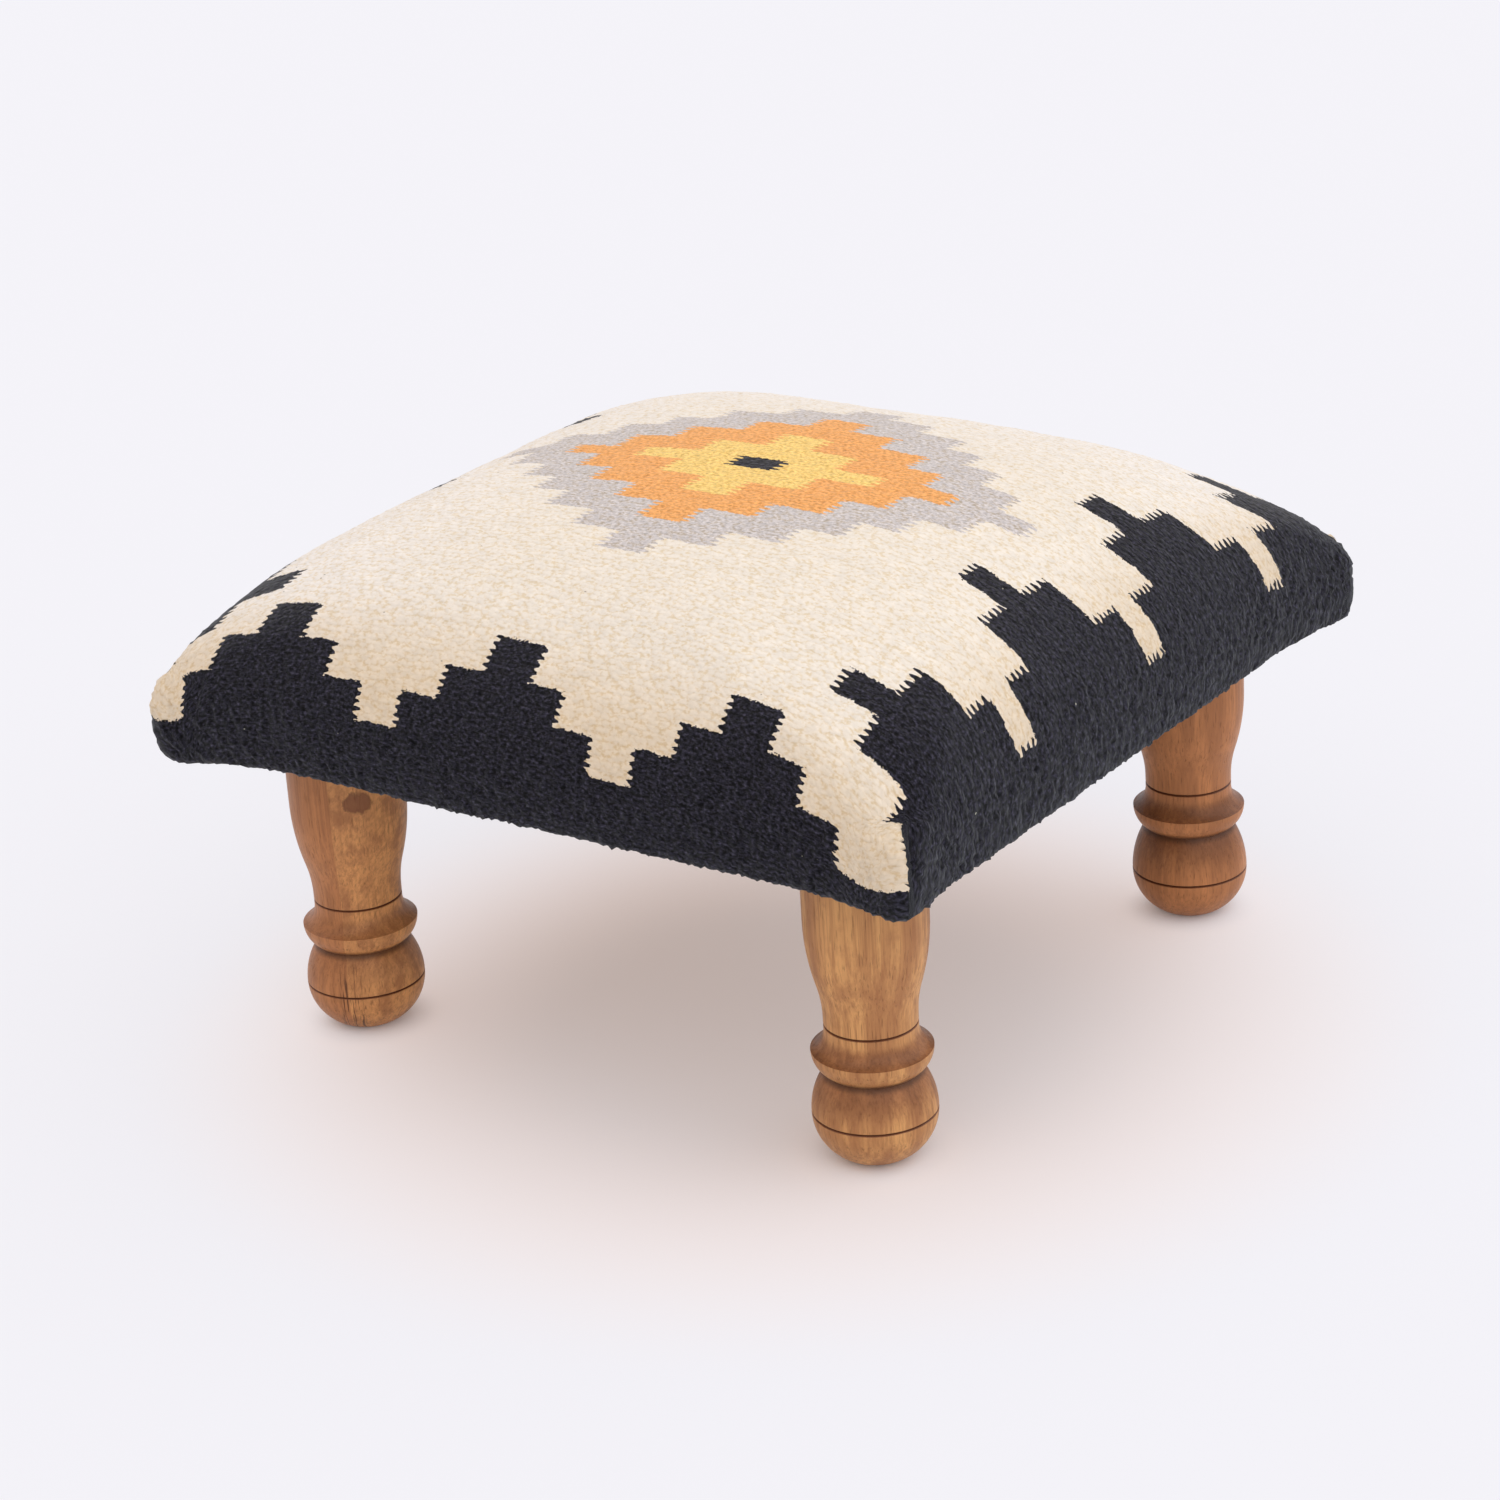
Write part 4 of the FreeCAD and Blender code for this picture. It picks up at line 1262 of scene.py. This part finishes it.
class FOOTSTOOL_OT_wadding(bpy.types.Operator):
    """Make the wadding that lies under the cover and round the frame"""
    bl_idname = "footstool.wadding"
    bl_label = "Wadding"

    def execute(self, context):
        chosen = settings()
        pad, filling = chosen.pad, chosen.filling
        outer_form = PadForm(pad, filling.wadding_inset)
        inner_form = PadForm(pad, filling.wadding_inner_inset)
        foot = RAIL_LOW.z + filling.clearance
        outer_path = [(outer_form.half, outer_form.shoulder), (outer_form.half - pad.side_tuck, foot)]
        frame_side = BOARD_HIGH.x + filling.clearance
        inner_path = [(inner_form.half, inner_form.shoulder)]
        inner_path += [(frame_side, foot + pad.shoulder_rise), (frame_side, foot)]
        outer = PadGrid(outer_form, WADDING_RINGS, outer_path)
        inner = PadGrid(inner_form, WADDING_INNER_RINGS, inner_path)
        points = stuff_by_hand(outer, outer.points, chosen.cover)
        fluff = lumps(points, *WADDING_LUMPS) * filling.clearance
        points = points + outer.normals(points) * np.minimum(fluff, 0)[..., None]
        inside = stuff_by_hand(inner, inner.points, chosen.cover, BOARD_HIGH.z)
        piece = shell_object("wadding_layer", points, outer.rings, inside, inner.rings)
        piece.data.materials.append(fibre_material(
            "polyester_wadding", filling.wadding_colour, scale=420.0, depth=0.0008, contrast=0.12))
        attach(piece, "root")
        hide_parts("wadding")
        return {"FINISHED"}


class FOOTSTOOL_OT_foam_pad(bpy.types.Operator):
    """Make the domed foam on the seat board"""
    bl_idname = "footstool.foam_pad"
    bl_label = "Foam Pad"

    def execute(self, context):
        chosen = settings()
        pad, filling = chosen.pad, chosen.filling
        form = PadForm(pad, filling.foam_inset)
        foot = BOARD_HIGH.z + filling.clearance
        path = [(form.half, form.shoulder), (form.half - pad.side_tuck, form.bottom)]
        dome = PadGrid(form, FOAM_RINGS, path)
        points = stuff_by_hand(dome, dome.points, chosen.cover, BOARD_HIGH.z)
        points[points[..., 2] < foot, :2] *= FOAM_FOOT_SHARE
        points[..., 2] = np.maximum(points[..., 2], foot)
        base = points[::INNER_STEP, ::INNER_STEP].copy()
        base[..., 2] = foot
        piece = shell_object("foam_dome", points, dome.rings, base, dome.rings // INNER_STEP)
        piece.data.materials.append(foam_material(filling.foam_colour))
        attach(piece, "root")
        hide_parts("foam_pad")
        return {"FINISHED"}


# Shares of a face's size by which a point counts as inside a leg's hole or as part of its rim
LINING_INSIDE_SHARE = 0.4
LINING_RIM_SHARE = 0.75
# The lining's thickness as a share of its solid's
LINING_THICKNESS_SHARE = 0.6


class FOOTSTOOL_OT_bottom_lining(bpy.types.Operator):
    """Make the lining that closes the underside, cut out round the legs"""
    bl_idname = "footstool.bottom_lining"
    bl_label = "Bottom Lining"

    def execute(self, context):
        filling = settings().filling
        half = LINING_HIGH.x
        count = round(2 * half / filling.lining_step)
        line = np.linspace(-half, half, count + 1)
        x, y = np.meshgrid(line, line, indexing="ij")
        low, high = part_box(LEG_NODES[0])
        hole = (high.x - low.x) / 2 + filling.lining_leg_gap
        legs = [middle_of(name) for name in LEG_NODES]
        gaps = [np.hypot(x - leg.x, y - leg.y) for leg in legs]
        inside = np.min(gaps, axis=0) < hole - filling.lining_step * LINING_INSIDE_SHARE
        for leg, gap in zip(legs, gaps):
            rim = (np.abs(gap - hole) < filling.lining_step * LINING_RIM_SHARE) & ~inside
            scale = np.where(rim, hole / np.maximum(gap, LEAST_LENGTH), 1)
            x = leg.x + (x - leg.x) * scale
            y = leg.y + (y - leg.y) * scale
        taut = (1 - (x / half) ** 2) * (1 - (y / half) ** 2)
        z = (LINING_LOW.z + LINING_HIGH.z) / 2 - taut * filling.lining_sag
        points = np.stack([x, y, z], axis=-1)
        points[..., 2] += lumps(points, *LINING_LUMPS) * filling.lining_ripple * taut
        quads = cells_of(np.arange(x.size).reshape(x.shape))
        cut = cells_of(inside).any(axis=-1)
        piece = mesh_object("lining_cloth", points.reshape(-1, 3), quads[~cut].tolist())
        trim_loose(piece)
        thicken = piece.modifiers.new("thickness", "SOLIDIFY")
        thicken.thickness = (LINING_HIGH.z - LINING_LOW.z) * LINING_THICKNESS_SHARE
        thicken.offset = 0
        piece.data.materials.append(fibre_material(
            "lining_cloth", filling.lining_colour, scale=1400.0, depth=0.0002, contrast=0.25))
        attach(piece, "root")
        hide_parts("bottom_lining")
        return {"FINISHED"}


def trim_loose(piece):
    """Drop the points that belong to no face."""
    mesh = piece.data
    used = sorted({corner for face in mesh.polygons for corner in face.vertices})
    renumber = {old: new for new, old in enumerate(used)}
    points = [tuple(mesh.vertices[old].co) for old in used]
    faces = [[renumber[corner] for corner in face.vertices] for face in mesh.polygons]
    mesh.clear_geometry()
    mesh.from_pydata(points, [], faces)
    mesh.shade_smooth()


def finish_node(name, material):
    """Give a CAD piece its finish."""
    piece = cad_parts[name]
    for slot in piece.material_slots:
        slot.material = material


class FOOTSTOOL_OT_leg_finish(bpy.types.Operator):
    """Give each turned leg its own oiled wood"""
    bl_idname = "footstool.leg_finish"
    bl_label = "Leg Finish"

    def execute(self, context):
        wood = settings().wood
        for name, turning in TURNINGS.items():
            finish_node(name, leg_material(f"{name}_wood", middle_of(name), turning, wood))
        return {"FINISHED"}


# Each rail's grain is this far from the last one's, and the seat board's is its own
RAIL_SEED_STEP = 1.7
BOARD_SEED = 9.1


class FOOTSTOOL_OT_frame_finish(bpy.types.Operator):
    """Give the rails, the seat board and the hardware their finishes"""
    bl_idname = "footstool.frame_finish"
    bl_label = "Frame Finish"

    def execute(self, context):
        wood = settings().wood
        for number, name in enumerate(RAIL_NODES):
            along_x = name in ("front_rail", "rear_rail")
            seed = number * RAIL_SEED_STEP
            finish_node(name, timber_material(f"{name}_timber", wood.softwood, along_x, seed, wood))
        board = timber_material("seat_board_plywood", wood.plywood, True, BOARD_SEED, wood)
        finish_node("seat_board", board)
        zinc = zinc_material()
        for name in STEEL_NODES:
            finish_node(name, zinc)
        return {"FINISHED"}


# Stage

SENSOR_WIDTH = 36.0
LAMP_DISTANCE = 2


def direction(azimuth, elevation):
    """Unit vector from the stool at a turn from the front and a height angle."""
    level = math.cos(elevation)
    return Vector((math.sin(azimuth) * level, -math.cos(azimuth) * level, math.sin(elevation)))


def look_matrix(stage):
    """The camera's place and axes."""
    back = direction(stage.azimuth, stage.elevation)
    right = Vector((0, 0, 1)).cross(back).normalized()
    up = back.cross(right)
    turned_right = right * math.cos(stage.roll) + up * math.sin(stage.roll)
    turned_up = up * math.cos(stage.roll) - right * math.sin(stage.roll)
    axes = Matrix((turned_right, turned_up, back)).transposed().to_4x4()
    return Matrix.Translation(Vector(stage.target) + back * stage.distance) @ axes


def show_instead(tree, factor, plain, other, out):
    """Send a shader to the output, with another shown in its place by a factor."""
    choose = tree.nodes.new("ShaderNodeMixShader")
    plug(tree, factor, choose.inputs[0])
    tree.links.new(plain.outputs[0], choose.inputs[1])
    tree.links.new(other.outputs[0], choose.inputs[2])
    tree.links.new(choose.outputs[0], out.inputs["Surface"])


def floor_material(stage):
    """Pale seamless floor that keeps a light shadow of the stool, lightened by a painted glow seen directly,
    with a painted warm shadow tone under the stool.
    """
    material, tree, shader = new_material("pale_floor", Roughness=0.9, Specular_IOR_Level=0.1)
    place = object_place(tree)
    soft = noise_at(tree, place, 0.8, detail=1.0)
    connect(tree, shader, Base_Color=mix(tree, soft * 0.03, linear(stage.floor_colour), linear(FLOOR_MOTTLE)))
    x, y, _ = parts_of(place)
    off_x = x - stage.shade_middle[0]
    off_y = y - stage.shade_middle[1]
    far = (off_x * off_x + off_y * off_y).power(0.5)
    away = far.ramp(*stage.glow_reach)
    foot = middle_of(LEG_NODES[-1])
    foot_x = x.size() - foot.x
    foot_y = y.size() - foot.y
    off_foot = (foot_x * foot_x + foot_y * foot_y).power(0.5).ramp(*stage.foot_reach)
    # Painted light: a glow seen directly that lightens the real shadow, less near the stool and not at the
    # feet, and warm as a painted shadow tone under the stool.
    glow = tree.nodes.new("ShaderNodeEmission")
    tone = mix(tree, far.ramp(*stage.shade_reach), linear(stage.shade_colour), linear(stage.glow_colour))
    connect(tree, glow, Color=tone)
    unshaded = (away * (stage.glow - stage.shade_glow) + stage.shade_glow) * off_foot
    show_instead(tree, seen_directly(tree) * unshaded, shader, glow, tree.nodes["Material Output"])
    return material


def seen_directly(tree):
    """1 for rays that show the backdrop, 0 for rays that only carry its light."""
    path = tree.nodes.new("ShaderNodeLightPath")
    seen = Wire(tree, path.outputs["Is Camera Ray"]).either(Wire(tree, path.outputs["Is Glossy Ray"]))
    return seen.either(Wire(tree, path.outputs["Is Transmission Ray"]))


def studio_world(stage):
    """Even warm light from all round, seen as the pale backdrop."""
    world = bpy.data.worlds.new("studio")
    world.use_nodes = True
    tree = world.node_tree
    tree.nodes.clear()
    light = tree.nodes.new("ShaderNodeBackground")
    connect(tree, light, Color=linear(stage.fill_colour), Strength=stage.fill_strength)
    backdrop = tree.nodes.new("ShaderNodeBackground")
    connect(tree, backdrop, Color=linear(stage.floor_colour))
    show_instead(tree, seen_directly(tree), light, backdrop, tree.nodes.new("ShaderNodeOutputWorld"))
    return world


class FOOTSTOOL_OT_stage(bpy.types.Operator):
    """Set up the camera, the lamp, the backdrop and the pale floor"""
    bl_idname = "footstool.stage"
    bl_label = "Stage"

    def execute(self, context):
        stage = settings().stage
        scene = context.scene
        camera = bpy.data.objects.new("camera", bpy.data.cameras.new("camera"))
        camera.data.lens = stage.lens
        camera.data.sensor_width = SENSOR_WIDTH
        camera.matrix_world = look_matrix(stage)
        scene.collection.objects.link(camera)
        scene.camera = camera
        half = stage.floor_size / 2
        floor = mesh_object(
            "floor", [(-half, -half, 0), (half, -half, 0), (half, half, 0), (-half, half, 0)], [(0, 1, 2, 3)])
        floor.data.materials.append(floor_material(stage))
        lamp = bpy.data.lights.new("overhead", "SUN")
        lamp.energy = stage.key_strength
        lamp.color = linear(stage.key_colour)[:3]
        lamp.angle = stage.key_spread
        overhead = bpy.data.objects.new("overhead", lamp)
        toward = direction(stage.key_azimuth, stage.key_elevation)
        overhead.rotation_euler = toward.to_track_quat("Z", "Y").to_euler()
        overhead.location = toward * LAMP_DISTANCE
        scene.collection.objects.link(overhead)
        scene.world = studio_world(stage)
        scene.view_settings.view_transform = "Standard"
        return {"FINISHED"}


class FOOTSTOOL_PT_panel(bpy.types.Panel):
    """Lists the stool's pieces in the sidebar"""
    bl_idname = "FOOTSTOOL_PT_panel"
    bl_label = "Footstool"
    bl_space_type = "VIEW_3D"
    bl_region_type = "UI"
    bl_category = "Footstool"

    def draw(self, context):
        for operator in OPERATORS:
            self.layout.operator(operator.bl_idname)


OPERATORS = (
    FOOTSTOOL_OT_kilim_cover,
    FOOTSTOOL_OT_wadding,
    FOOTSTOOL_OT_foam_pad,
    FOOTSTOOL_OT_bottom_lining,
    FOOTSTOOL_OT_leg_finish,
    FOOTSTOOL_OT_frame_finish,
    FOOTSTOOL_OT_stage,
)
CLASSES = (
    PadSettings,
    CoverSettings,
    KilimSettings,
    FillingSettings,
    WoodSettings,
    StageSettings,
    FootstoolSettings,
    *OPERATORS,
    FOOTSTOOL_PT_panel,
)


def register():
    for each in CLASSES:
        bpy.utils.register_class(each)
    setattr(bpy.types.Scene, SETTINGS, PointerProperty(type=FootstoolSettings))


def unregister():
    delattr(bpy.types.Scene, SETTINGS)
    for each in reversed(CLASSES):
        bpy.utils.unregister_class(each)


def main():
    register()
    bpy.ops.footstool.kilim_cover()
    bpy.ops.footstool.wadding()
    bpy.ops.footstool.foam_pad()
    bpy.ops.footstool.bottom_lining()
    bpy.ops.footstool.leg_finish()
    bpy.ops.footstool.frame_finish()
    bpy.ops.footstool.stage()
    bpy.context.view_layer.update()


if __name__ == "__main__":
    main()
